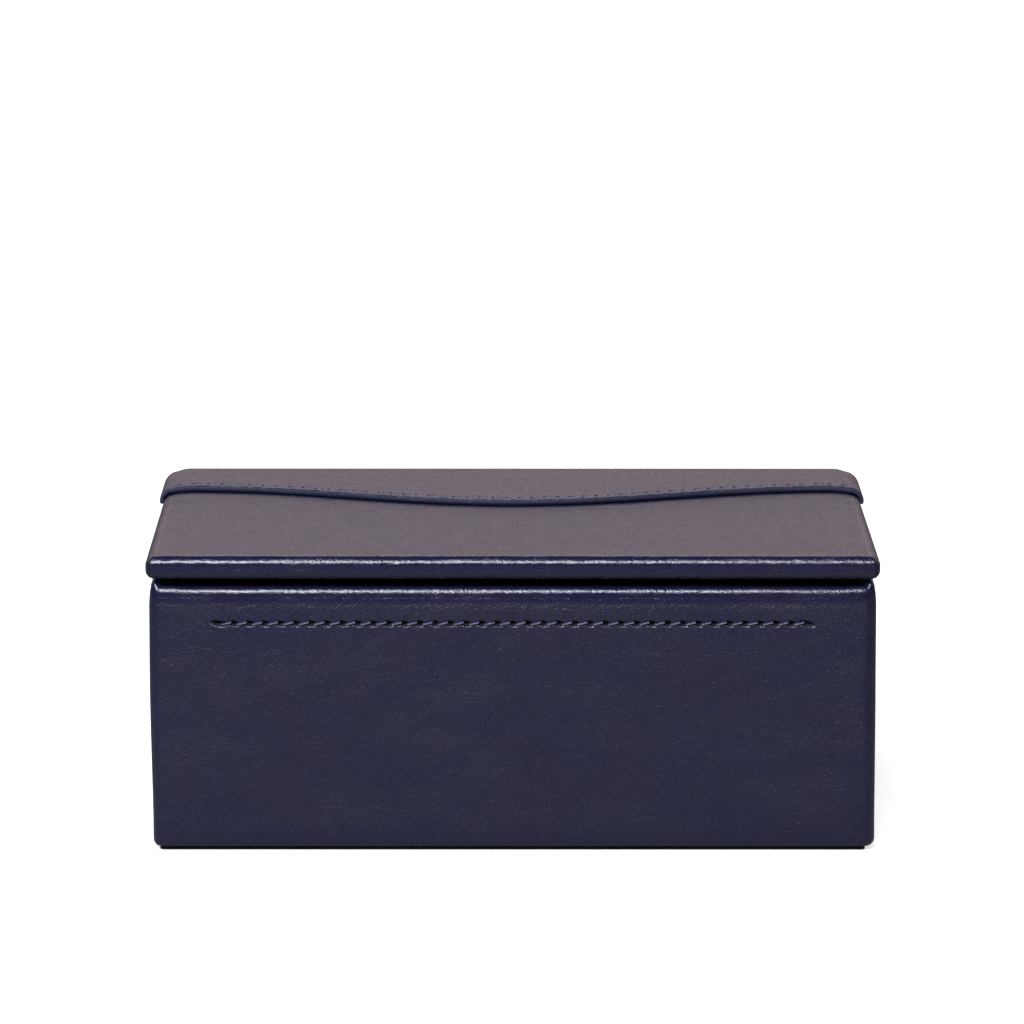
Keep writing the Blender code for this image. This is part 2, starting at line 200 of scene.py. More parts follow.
# %% Skin a sheet that has thickness
def thick_sheet(name, outer, inner, cells, marks):
    """Two matching grids joined at their borders; cells says which quads of the grid exist."""
    rows, columns = outer.shape[:2]
    index = np.arange(rows * columns).reshape(rows, columns)
    quads = np.stack([index[:-1, :-1], index[:-1, 1:], index[1:, 1:], index[1:, :-1]], axis=-1)[cells]
    count = rows * columns
    faces = np.concatenate([quads, quads[:, ::-1] + count])
    starts = np.concatenate([quads[:, k] for k in range(4)])
    ends = np.concatenate([quads[:, (k + 1) % 4] for k in range(4)])
    forward, backward = starts * count + ends, ends * count + starts
    border = ~np.isin(forward, backward)
    a, b = starts[border], ends[border]
    faces = np.concatenate([faces, np.stack([b, a, a + count, b + count], axis=-1)])
    used = np.unique(faces)
    renumber = np.zeros(2 * count, int)
    renumber[used] = np.arange(len(used))
    points = np.concatenate([outer.reshape(-1, 3), inner.reshape(-1, 3)])[used]
    kept = {mark: np.concatenate([a.ravel(), b.ravel()])[used] for mark, (a, b) in marks.items()}
    return new_piece(name, points, renumber[faces], kept)


# %% [markdown]
# ## Outlines
# Seen from above, the case and the lid are rectangles with small round corners. Each column of a
# skin stands at one place on that outline and keeps it at every inset, so a section can be swept
# round the box and fold neatly at the corners.

# %% Place the columns on an outline
FRONT_LEFT, FRONT_RIGHT, BACK_RIGHT, BACK_LEFT = 3, 0, 1, 2
CORNER_STEPS = 20


def corner_turns():
    """Degrees round a corner, closer together in the middle, where its mitre is."""
    ways = np.linspace(-1, 1, CORNER_STEPS + 1)
    return 45 + 45 * np.sign(ways) * np.abs(ways) ** 1.8


def make_columns(front, right, back, left):
    """Columns as corner pairs, the share of the way between them, and the way out in radians."""
    parts = []
    runs = ((front, FRONT_LEFT, FRONT_RIGHT, -90), (right, FRONT_RIGHT, BACK_RIGHT, 0),
            (back, BACK_RIGHT, BACK_LEFT, 90), (left, BACK_LEFT, FRONT_LEFT, 180))
    for shares, start, end, angle in runs:
        parts += [(start, end, share, math.radians(angle)) for share in shares]
        parts += [(end, end, 0.0, math.radians(angle + turn)) for turn in corner_turns()]
    a, b, share, angle = (np.array(values) for values in zip(*parts))
    return {"a": a.astype(int), "b": b.astype(int), "share": share, "angle": angle}


def ring_xy(plan, inset, columns):
    """Where the columns stand on the outline at this inset, and the way out there."""
    half, front, back, corner = plan
    radius = max(corner - inset, LEAST_CORNER)
    x, y_front, y_back = half - inset - radius, front + inset + radius, back - inset - radius
    centres = np.array([(x, y_front), (x, y_back), (-x, y_back), (-x, y_front)])
    out = np.stack([np.cos(columns["angle"]), np.sin(columns["angle"])], axis=-1)
    share = columns["share"][:, None]
    return centres[columns["a"]] * (1 - share) + centres[columns["b"]] * share + radius * out, out


def ease(share):
    share = np.clip(share, 0, 1)
    return share * share * (3 - 2 * share)


def arc(centre, radii, start, end, steps):
    angles = np.radians(np.linspace(start, end, steps + 1))
    return [(centre[0] + radii[0] * math.cos(a), centre[1] + radii[1] * math.sin(a)) for a in angles]


def stepped_shares(low, high, seam_low, seam_high, step, coarse):
    """Shares from low to high, fine between the seam's ends and coarse outside them."""
    left = np.linspace(low, seam_low, max(int((seam_low - low) / coarse), 2), endpoint=False)[1:]
    middle = np.linspace(seam_low, seam_high, int((seam_high - seam_low) / step), endpoint=False)
    right = np.linspace(seam_high, high, max(int((high - seam_high) / coarse), 2), endpoint=False)
    return (np.concatenate([left, middle, right]) - low) / (high - low)


# %% [markdown]
# ## Saddle stitches
# Each seam is pricked with a slanted iron and sewn with one waxed two-ply thread. A stitch rises
# from one hole, crosses the leather at a slant and dives into the next hole. The leather is pulled
# in along the seam and opens into a small oval at every hole, with a lip that catches the light.
# On the yoke each stitch beds into the leather instead and the holes all but close. A bump map
# would lose all of this from the side, so holes and beds are pushed into the grid, and the plies
# are real twisted tubes. Each hole also leaves a mark on the mesh, where the leather's colour gets
# painted shade, near-black.

# %% Find the places of the stitches
def along_line(start, end, outward, pitch):
    """Centres, directions and outward normals of stitches at an even pitch on a straight seam."""
    start, end, outward = (np.array(v, float) for v in (start, end, outward))
    length = np.linalg.norm(end - start)
    along = (end - start) / length
    count = int(length / pitch) + 1
    steps = pitch * (np.arange(count) - (count - 1) / 2)
    centres = (start + end) / 2 + steps[:, None] * along
    return centres, np.tile(along, (count, 1)), np.tile(outward, (count, 1))


def along_curve(point_at, limit, outward, pitch, margin):
    """The same along a curved edge, set back from it by the margin."""
    samples = np.array([point_at(x) for x in np.linspace(-limit, limit, 1601)])
    runs = np.linalg.norm(np.diff(samples, axis=0), axis=1)
    reached = np.concatenate([[0], np.cumsum(runs)])
    count = int(reached[-1] / pitch) + 1
    targets = reached[-1] / 2 + pitch * (np.arange(count) - (count - 1) / 2)
    on_edge = np.stack([np.interp(targets, reached, samples[:, axis]) for axis in range(3)], axis=-1)
    slopes = np.diff(samples, axis=0) / runs[:, None]
    along = slopes[np.clip(np.searchsorted(reached, targets) - 1, 0, len(slopes) - 1)]
    outward = np.array(outward, float)
    return on_edge + np.cross(outward, along) * margin, along, np.tile(outward, (count, 1))


# %% Twist two plies into each stitch
STITCH_RINGS = 13
PLY_SIDES = 6
PLY_TURN = 1.15 * MM
PLY_OFFSET = 0.22 * THREAD
PLY_RADIUS = 0.28 * THREAD
TUCK = 1.04
STITCH_RISE = 0.16 * MM
STITCH_SLANT = 0.34 * MM
STITCH_ROOT = 1.1 * MM


def sew(name, places, rise=STITCH_RISE, slant=STITCH_SLANT):
    """One piece that holds every stitch of a seam, two twisted plies each."""
    centres, along, outward = places
    up = np.cross(outward, along)
    turn = np.linspace(-90, 90, STITCH_RINGS)
    run = np.concatenate([[-TUCK], np.sin(np.radians(turn)), [TUCK]])
    lift = np.concatenate([[-STITCH_ROOT], rise * np.cos(np.radians(turn)), [-STITCH_ROOT]])
    reach = STITCH / 2
    points, faces = [], []
    rings = len(run)
    for centre, a, o, u in zip(centres, along, outward, up):
        spine = centre + np.outer(run * reach, a) + np.outer(run * slant, u) + np.outer(lift, o)
        tangent = np.gradient(spine, axis=0)
        tangent /= np.linalg.norm(tangent, axis=1)[:, None]
        side = np.cross(o, tangent)
        side /= np.linalg.norm(side, axis=1)[:, None]
        top = np.cross(tangent, side)
        gone = np.concatenate([[0], np.cumsum(np.linalg.norm(np.diff(spine, axis=0), axis=1))])
        for ply in (0, math.pi):
            twist = gone / PLY_TURN * 2 * math.pi + ply
            core = spine + (side * np.cos(twist)[:, None] + top * np.sin(twist)[:, None]) * PLY_OFFSET
            first = len(points) * rings * PLY_SIDES
            spokes = np.arange(PLY_SIDES) * 2 * math.pi / PLY_SIDES
            loops = (core[:, None] + (side[:, None] * np.cos(spokes)[None, :, None]
                                      + top[:, None] * np.sin(spokes)[None, :, None]) * PLY_RADIUS)
            points.append(loops)
            index = first + np.arange(rings * PLY_SIDES).reshape(rings, PLY_SIDES)
            right = np.roll(index, -1, axis=1)
            faces += np.stack([index[:-1], right[:-1], right[1:], index[1:]], -1).reshape(-1, 4).tolist()
            faces += [index[0][::-1].tolist(), index[-1].tolist()]
    return new_piece(name, np.concatenate(points).reshape(-1, 3), faces)


# %% Press the holes into the leather
HOLE_DEPTH = 1.5 * MM
HOLE_LONG = 1.28 * MM
HOLE_SHORT = 0.74 * MM
HOLE_SKIRT = 0.26 * MM
END_HOLE = 1.6
HOLE_SHARPNESS = 2.2
SKIRT_REACH = 1.8
HOLE_TILT = math.radians(-14)
TROUGH_DEPTH = 0.10 * MM
TROUGH_WIDTH = 0.6 * MM
BED_LONG = 1.5 * MM
BED_WIDTH = 0.55 * MM
SAME_FACE = 1.0 * MM


def holes_of(places):
    """The holes lie halfway between the stitches, with one more beyond each end."""
    centres, along, outward = places
    half_pitch = np.linalg.norm(centres[1] - centres[0]) / 2
    first, last = centres[0] - along[0] * half_pitch, centres[-1] + along[-1] * half_pitch
    spots = np.concatenate([[first], (centres[1:] + centres[:-1]) / 2, [last]])
    return spots, np.concatenate([along, along[-1:]]), np.concatenate([outward, outward[-1:]])


def beside(points, spots, along, outward):
    """How far each point is along, across and off the seam from each of its spots."""
    away = points[:, None] - spots[None]
    return [(away * axis[None]).sum(-1) for axis in (along, np.cross(outward, along), outward)]


def stitch_beds(points, places, depth):
    """How deep the stitches themselves bed into the leather."""
    run, over, off = beside(points, *places)
    bed = depth * np.exp(-(run / BED_LONG) ** 6 - (over / BED_WIDTH) ** 2)
    return np.where(np.abs(off) < SAME_FACE, bed, 0).max(axis=1)


def pressed(points, places, size=1.0):
    """How deep one seam presses the leather in at each point, and how far that is a hole, which also sets
    where shade is painted into the holes.
    """
    spots, along, outward = holes_of(places)
    run, over, off = beside(points, spots, along, outward)
    long = np.full(len(spots), HOLE_LONG * size)
    long[[0, -1]] *= END_HOLE
    turned_run = run * math.cos(HOLE_TILT) + over * math.sin(HOLE_TILT)
    turned_over = over * math.cos(HOLE_TILT) - run * math.sin(HOLE_TILT)
    far = (turned_run / long) ** 2 + (turned_over / (HOLE_SHORT * size)) ** 2
    inside = np.exp(-far ** HOLE_SHARPNESS)
    skirt = np.exp(-far / SKIRT_REACH) * ease(SKIRT_REACH - np.abs(over) / (HOLE_SHORT * size))
    hole = (HOLE_DEPTH * inside + HOLE_SKIRT * skirt) * size
    gate = ease(2 - np.abs(run) / (HOLE_LONG * 2))
    trough = TROUGH_DEPTH * size * gate * np.exp(-(over / (TROUGH_WIDTH * size)) ** 2)
    near = np.abs(off) < SAME_FACE
    depth = np.where(near, np.maximum(hole, trough), 0).max(axis=1)
    return depth, np.where(near, inside, 0).max(axis=1)


# %% [markdown]
# ## The walls' leather
# One skin goes under the base, up the walls, over the rim and down inside. Its section is swept
# round the case. The front rim is lower than the others, which leaves room for a finger under the
# lid, and it falls within each corner. At its two ends it stays a little higher than between them,
# because the front board stands close under it there. Leather drawn over an edge never turns
# from flat to round at once: a soft shoulder leads into the fold, and it shades the face from
# dark to light. The faces also swell a little, since hand-pulled leather is never quite flat.

# %% Lay out the seams on three walls
reach = body_high.x - SEAM_INSET
front_seam = along_line((-reach, body_low.y, seam_height), (reach, body_low.y, seam_height),
                        (0, -1, 0), WALL_PITCH)
near_y, far_y = body_low.y + SEAM_INSET, body_high.y - SEAM_INSET
right_seam = along_line((body_high.x, near_y, seam_height), (body_high.x, far_y, seam_height),
                        (1, 0, 0), WALL_PITCH)
left_seam = along_line((-body_high.x, far_y, seam_height), (-body_high.x, near_y, seam_height),
                       (-1, 0, 0), WALL_PITCH)
print("stitches on the walls:", [len(seam[0]) for seam in (front_seam, right_seam, left_seam)])

# %% Write the section of the skin
COARSE = 2.0 * MM
FACE_ROWS = 9
SEAM_ROWS = 19
SEAM_BAND = 2.4 * MM


def wall_section():
    """Rows of inset, height, share of the dip and fold mark, round the closed section."""
    foot, edge = body_low.z, 0.5 * MM
    rows = [(TURN_UNDER, foot, 0, 0), (TURN_UNDER / 2, foot, 0, 0)]
    for inset, z in arc((FOOT_ROUND, foot + FOOT_ROUND), (FOOT_ROUND, FOOT_ROUND), 270, 180, 8):
        rows.append((inset, z, 0, 0.6))
    low, high = foot + FOOT_ROUND, seam_height - SEAM_BAND
    rows += [(0, z, 0, 0) for z in np.linspace(low, high, FACE_ROWS + 2)[1:-1]]
    rows += [(0, z, 0, 0) for z in np.linspace(high, seam_height + SEAM_BAND, SEAM_ROWS)]
    low, high = seam_height + SEAM_BAND, rim - RIM_ROUND
    for z in np.linspace(low, high, 12)[1:-1]:
        rows.append((0, z, (z - low) / (high - low), float(ease(1 - (high - z) / (5 * MM)))))
    for inset, z in arc((RIM_ROUND, rim - RIM_ROUND), (RIM_ROUND, RIM_ROUND), 180, 90, 10):
        rows.append((inset, z, 1, 1))
    inner = (RIM_WIDTH - RIM_INNER_ROUND, rim - RIM_INNER_ROUND)
    for inset, z in arc(inner, (RIM_INNER_ROUND, RIM_INNER_ROUND), 90, 0, 7):
        rows.append((inset, z, 1, 1))
    flange = rim - TURN_IN
    for z in np.linspace(inner[1], flange + edge, 5)[1:]:
        rows.append((RIM_WIDTH, z, (z - flange) / (inner[1] - flange), 0))
    rows += [(RIM_WIDTH - edge, flange, 0, 0), (RIM_WIDTH - PARED, flange, 0, 0)]
    pared = (RIM_INNER_ROUND - PARED, RIM_INNER_ROUND - LEATHER)
    rows += [(inset, z, 1, 0) for inset, z in arc(inner, pared, 0, 90, 3)]
    under = (RIM_ROUND - LEATHER, RIM_ROUND - LEATHER)
    rows += [(inset, z, 1, 0) for inset, z in arc((RIM_ROUND, rim - RIM_ROUND), under, 90, 180, 3)]
    in_foot = (FOOT_ROUND - LEATHER, FOOT_ROUND - PARED)
    rows += [(inset, z, 0, 0) for inset, z in arc((FOOT_ROUND, foot + FOOT_ROUND), in_foot, 180, 270, 3)]
    rows.append((TURN_UNDER, foot + PARED, 0, 0))
    return rows


# %% Say how the skin swells, and where its corners are mitred
SWELL = 0.14 * MM
SHOULDER = 0.68 * MM
SHOULDER_RUN = 6.8 * MM
LEAN = 0.9 * MM
LEAN_HEIGHT = 60 * MM
DIP_KEEPS, DIP_ENDS = 18, 72
DIP_END_RUN = 8 * MM
DIP_END_SHARE = 0.87
MITRE_TURN = 45
MITRE_DEPTH = 0.2 * MM
MITRE_WIDTH = 0.42 * MM


def swell(x, y, z):
    """A slow, shallow unevenness of hand-laid leather, between 0 and 1."""
    waves = np.sin(x * 31 + 1.3) * np.sin(z * 47 + 0.4) + np.sin(y * 43 + x * 17 + 2.1) * np.cos(z * 71)
    return (waves + 2) / 4


def shoulder(distance, run=SHOULDER_RUN):
    """How far a face falls back towards a fold: all at the fold, nothing beyond the run."""
    return (1 - np.clip(distance / run, 0, 1)) ** 2


def front_dip(columns):
    """The share of the dip: none at the sides, all along the front, a little less at its ends."""
    degrees = np.degrees(columns["angle"]) % 360
    turned = np.minimum(np.abs(degrees - 270), 90)
    along = np.minimum(columns["share"], 1 - columns["share"]) * 2 * body_high.x
    full = DIP_END_SHARE + (1 - DIP_END_SHARE) * ease(along / DIP_END_RUN)
    return (1 - ease((turned - DIP_KEEPS) / (DIP_ENDS - DIP_KEEPS))) * full


def mitre(columns, radius, width):
    """A narrow groove where two folded ends of leather meet in the middle of a corner."""
    turned = (np.degrees(columns["angle"]) + 90) % 90
    from_middle = np.radians(np.abs(turned - MITRE_TURN)) * max(radius, LEAST_CORNER)
    at_corner = columns["a"] == columns["b"]
    return np.where(at_corner, np.exp(-(from_middle / width) ** 2), 0)


# %% Sweep the section and press the seams in
def make_wall_leather():
    x_end = body_high.x - CORNER
    y_start, y_end = body_low.y + CORNER, body_high.y - CORNER
    front = stepped_shares(-x_end, x_end, -reach - WALL_PITCH, reach + WALL_PITCH, SEAM_STEP, COARSE / 2)
    right = stepped_shares(y_start, y_end, near_y - WALL_PITCH, far_y + WALL_PITCH, SEAM_STEP, COARSE)
    back = np.linspace(0, 1, 26)[1:-1]
    columns = make_columns(front, right, back, 1 - right[::-1])
    dip = front_dip(columns) * FRONT_DIP
    grid, folds, painted_shade_rows = [], [], []
    for inset, z, dip_share, fold in wall_section():
        # dark gathers the painted shade: the stitch holes and the mitre grooves are coloured near-black
        # there
        dark = np.zeros(len(dip))
        xy, out = ring_xy(body_plan, inset, columns)
        points = np.column_stack([xy, z - dip * dip_share])
        bent = SHOULDER * shoulder(rim - RIM_ROUND - z)
        if inset < RIM_ROUND:
            points[:, :2] -= out * bent * (1 - inset / RIM_ROUND)
        leaning = np.maximum(-out[:, 0], 0) * max(1 - inset / FOOT_ROUND, 0)
        points[:, 0] += LEAN * ease((LEAN_HEIGHT - z) / LEAN_HEIGHT) * leaning
        if inset == 0:
            push = -SWELL * swell(*points.T) * ease((z - body_low.z - FOOT_ROUND) / (8 * MM))
            push = push * ease((rim - RIM_ROUND - z) / (6 * MM))
            if abs(z - seam_height) <= SEAM_BAND:
                for seam in (front_seam, right_seam, left_seam):
                    depth, inside = pressed(points, seam)
                    push, dark = push - depth, np.maximum(dark, inside)
            points[:, :2] += out * push[:, None]
        if inset > RIM_ROUND and fold == 1:
            seam = mitre(columns, CORNER - inset, MITRE_WIDTH)
            points[:, 2] -= MITRE_DEPTH * seam
            # the mitre groove gets painted shade as well
            dark = np.maximum(dark, seam)
        grid.append(points)
        folds.append(np.full(len(points), fold))
        painted_shade_rows.append(dark)
    return swept_ring("case_skin", np.array(grid), {"fold": np.array(folds), "hole": np.array(painted_shade_rows)})


case_skin = make_wall_leather()
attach(case_skin, "box")
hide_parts("wall_leather")
print("faces in the walls' skin:", len(case_skin.data.polygons))

# %% [markdown]
# ## The lid's leather
# The lid is one skin too: drawn over the board's front and side edges and glued down underneath.
# At each corner the surplus is cut away and the two folded ends meet in a mitre, a fine curved
# groove with painted shade in it. Below it, the last bit of the fold leaves a small hole, also with
# painted shade. The rows of the grid go on over the top to its middle, so that the top can be a
# little uneven as well. The lid's corners are tighter than the case's.

# %% Write the lid's section
TOP_ROWS = 22
PANEL_MIDDLE = 2.5 * MM
LID_WAVE = 0.10 * MM
FRONT_FALL, OTHER_FALL = 0.24 * MM, 0.65 * MM
FALL_RUN = 8 * MM
PILLOW = 0.22 * MM


def lid_section():
    """Rows of inset, height and fold mark from the middle of the top to the board side."""
    middle = (lid_high.y - lid_low.y) / 2 - PANEL_MIDDLE
    steps = [1 - (1 - k / TOP_ROWS) ** 1.6 for k in range(TOP_ROWS)]
    rows = [(middle - (middle - LID_ROUND) * step, lid_high.z, 0) for step in steps]
    top_centre = (LID_ROUND, lid_high.z - LID_ROUND)
    under_centre = (LID_UNDER_ROUND, lid_low.z + LID_UNDER_ROUND)
    rows += [(inset, z, 1) for inset, z in arc(top_centre, (LID_ROUND, LID_ROUND), 90, 180, 12)]
    low, high = under_centre[1], top_centre[1]
    rows += [(0, z, 0.6) for z in np.linspace(high, low, 5)[1:-1]]
    rows += [(i, z, 1) for i, z in arc(under_centre, (LID_UNDER_ROUND, LID_UNDER_ROUND), 180, 270, 8)]
    rows += [(inset, lid_low.z, 0) for inset in np.linspace(LID_UNDER_ROUND, LID_TURN, 5)[1:]]
    rows.append((LID_TURN, lid_low.z + PARED, 0))
    pared = (LID_UNDER_ROUND - LEATHER, LID_UNDER_ROUND - PARED)
    rows += [(inset, z, 0) for inset, z in arc(under_centre, pared, 270, 180, 3)]
    inside = (LID_ROUND - LEATHER, LID_ROUND - LEATHER)
    rows += [(inset, z, 0) for inset, z in arc(top_centre, inside, 180, 90, 3)]
    return rows


# %% Draw it over the board
CORNER_CUTS = {FRONT_LEFT: 1.2 * MM, FRONT_RIGHT: 0.5 * MM, BACK_RIGHT: 0.6 * MM, BACK_LEFT: 0.6 * MM}
PLEAT_DEPTH = 1.5 * MM
PLEAT_WIDTH = 0.6 * MM
PLEAT_HEIGHT = 1.2 * MM
BULGE = 0.10 * MM


def lid_fall(distance, out_y):
    """How far the top falls towards its edges, a little less at the front."""
    front = ease(-out_y * 1.5)
    return (OTHER_FALL + (FRONT_FALL - OTHER_FALL) * front) * shoulder(distance, FALL_RUN)


def make_lid_leather():
    x_end = lid_high.x - CORNER
    steps = int(2 * x_end / COARSE * 2)
    front = np.linspace(0, 1, steps)[1:-1]
    side = np.linspace(0, 1, int((lid_high.y - lid_low.y) / COARSE))[1:-1]
    columns = make_columns(front, side, front[::2], side)
    grid, folds, painted_shade_rows = [], [], []
    covered = yoke_low.y
    lid_middle = (lid_low.z + lid_high.z) / 2
    corner_cuts = np.array([CORNER_CUTS[corner] for corner in columns["a"]])
    for inset, z, fold in lid_section():
        xy, out = ring_xy(lid_plan, inset, columns)
        points = np.column_stack([xy, np.full(len(xy), z)])
        dark = np.zeros(len(xy))
        if z == lid_high.z and inset >= LID_ROUND:
            free = ease((covered - points[:, 1]) / (12 * MM)) * ease((inset - LID_ROUND) / (9 * MM))
            points[:, 2] -= LID_WAVE * free * swell(points[:, 0] * 1.7, points[:, 1] * 1.6, 0)
        upper = ease((z - roll_z) / LID_ROUND) if inset < LID_ROUND else float(z > lid_high.z - MM)
        points[:, 2] -= lid_fall(inset - LID_ROUND, out[:, 1]) * upper
        if inset < LID_ROUND:
            away = (z - lid_middle) / (lid_high.z - lid_middle)
            points[:, :2] -= out * PILLOW * away ** 2 * (1 - inset / LID_ROUND)
        if fold > 0:
            groove = corner_cuts * mitre(columns, LID_CORNER - inset, MITRE_WIDTH)
            height = (z - lid_low.z - LID_UNDER_ROUND) / PLEAT_HEIGHT
            hole = PLEAT_DEPTH * mitre(columns, LID_CORNER - inset, PLEAT_WIDTH)
            cut = groove + hole * math.exp(-height ** 2)
            # painted shade in the mitre groove and in the pleat's hole below it
            dark = np.clip(cut / MM, 0, 1)
            along = points[:, 0] + points[:, 1]
            bulge = BULGE * (swell(along * 3, z * 2, z * 2) - 1)
            points[:, :2] += out * (bulge * (inset < LID_ROUND) - cut)[:, None]
        grid.append(points)
        folds.append(np.full(len(points), fold))
        painted_shade_rows.append(dark)
    marks = {"fold": np.array(folds)[::-1], "hole": np.array(painted_shade_rows)[::-1]}
    return capped_stack("lid_skin", np.array(grid)[::-1], marks)


lid_skin = make_lid_leather()
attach(lid_skin, "lid")
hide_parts("lid_leather")
print("faces in the lid's skin:", len(lid_skin.data.polygons))

# %% [markdown]
# ## The leather hinge
# The third skin is a single cut piece: the yoke over the back of the lid, the hinge, and the flap
# on the back wall. Its free edges are a raised cosine, drawn as one sweep of the knife, and are
# left raw. It is modelled flat on a grid and then wrapped: down over the lid's sides, where it is
# pared thin, and down over its back. It crosses the joint as one mesh, just as the real hinge does,
# and belongs to neither body.

# %% Wrap a flat place onto the lid and the wall
WRAP = LID_ROUND + GLUE
side_start = lid_high.x - LID_ROUND
roll_start = lid_high.y - LID_ROUND
quarter = WRAP * math.pi / 2
thickness = yoke_high.z - lid_high.z - GLUE
side_reach = side_start + quarter + roll_z - (lid_high.z - YOKE_SIDE_DROP)


def wrap_over(flat, start):
    """Angle and further drop of a place that lies this far out, when the bend begins at start."""
    beyond = np.maximum(np.abs(flat) - start, 0)
    return np.minimum(beyond / WRAP, math.pi / 2), np.maximum(beyond - quarter, 0)


def wrapped(u, v):
    """The point under the leather and the way out of it, for flat places u across and v back."""
    side_angle, side_drop = wrap_over(u, side_start)
    roll_angle, roll_drop = wrap_over(np.maximum(v, 0), roll_start)
    x = np.sign(u) * (np.minimum(np.abs(u), side_start) + WRAP * np.sin(side_angle))
    y = np.minimum(v, roll_start) + WRAP * np.sin(roll_angle)
    upright = np.cos(side_angle) * np.cos(roll_angle)
    fall = OTHER_FALL * shoulder(np.minimum(side_start - np.abs(u), roll_start - v), FALL_RUN)
    z = roll_z + (WRAP - fall) * upright - side_drop - roll_drop
    out = np.stack([np.sign(u) * np.sin(side_angle), np.sin(roll_angle),
                    np.cos(side_angle) * np.cos(roll_angle)], axis=-1)
    return np.stack([x, y, z], axis=-1), out


def ogee(x, end, rise):
    inside = np.abs(x) < OGEE_RUN
    return end + np.where(inside, rise * (1 + np.cos(math.pi * x / OGEE_RUN)) / 2, 0)


def flat_of_height(z):
    """The flat place, measured back over the lid, of a height on the back."""
    return roll_start + quarter + roll_z - z


# %% Sew the two ogee edges
yoke_top = yoke_high.z


def yoke_edge(x):
    return np.array((x, back_outer - ogee(x, YOKE_END, YOKE_RISE), yoke_top))


def flap_edge(x):
    return np.array((-x, back_outer, rim - ogee(x, FLAP_END, FLAP_RISE)))


SEAM_END = 2.5 * MM
yoke_seam = along_curve(yoke_edge, side_start - SEAM_END, (0, 0, 1), YOKE_PITCH, EDGE_MARGIN)
back_seam = along_curve(flap_edge, hinge_half - SEAM_END, (0, 1, 0), YOKE_PITCH, EDGE_MARGIN)
print("stitches on the yoke and the flap:", len(yoke_seam[0]), len(back_seam[0]))

# %% Lay out the rows and columns of the hinge leather
NEAR_EDGE = np.array([0, 0.12, 0.3, 0.6, 0.95, 1.3, 1.6, 1.9, 2.2, 2.5, 2.8, 3.1, 3.4, 3.7, 4.0,
                      4.4, 4.9, 5.5]) * MM
ARRIS = 0.6 * MM
ARRIS_DROP = 0.4 * MM
BACK_HOLE_SIZE, YOKE_HOLE_SIZE = 1.1, 0.7
YOKE_BED = 0.42 * MM
CHANNEL = 0.45 * MM
CHANNEL_WIDTH = 2.4 * MM
corner_cut = (lid_high.y - 15 * MM, roll_start)


def hinge_columns():
    """Shares of the half width, fine at both sides, where the leather is wrapped or cut."""
    fine = np.array([0, 0.12, 0.3, 0.6]) * MM / side_reach
    middle = np.linspace(fine[-1], 2 - fine[-1], int(2 * side_reach / SEAM_STEP))
    return np.concatenate([fine[:-1], middle, 2 - fine[:-1][::-1]]) - 1


def slant(x, rise):
    """How much longer a step across a sloping edge is when measured straight back."""
    steepest = rise * math.pi / 2 / OGEE_RUN
    slope = np.where(np.abs(x) < OGEE_RUN, steepest * np.sin(math.pi * x / OGEE_RUN), 0)
    return np.sqrt(1 + slope ** 2)


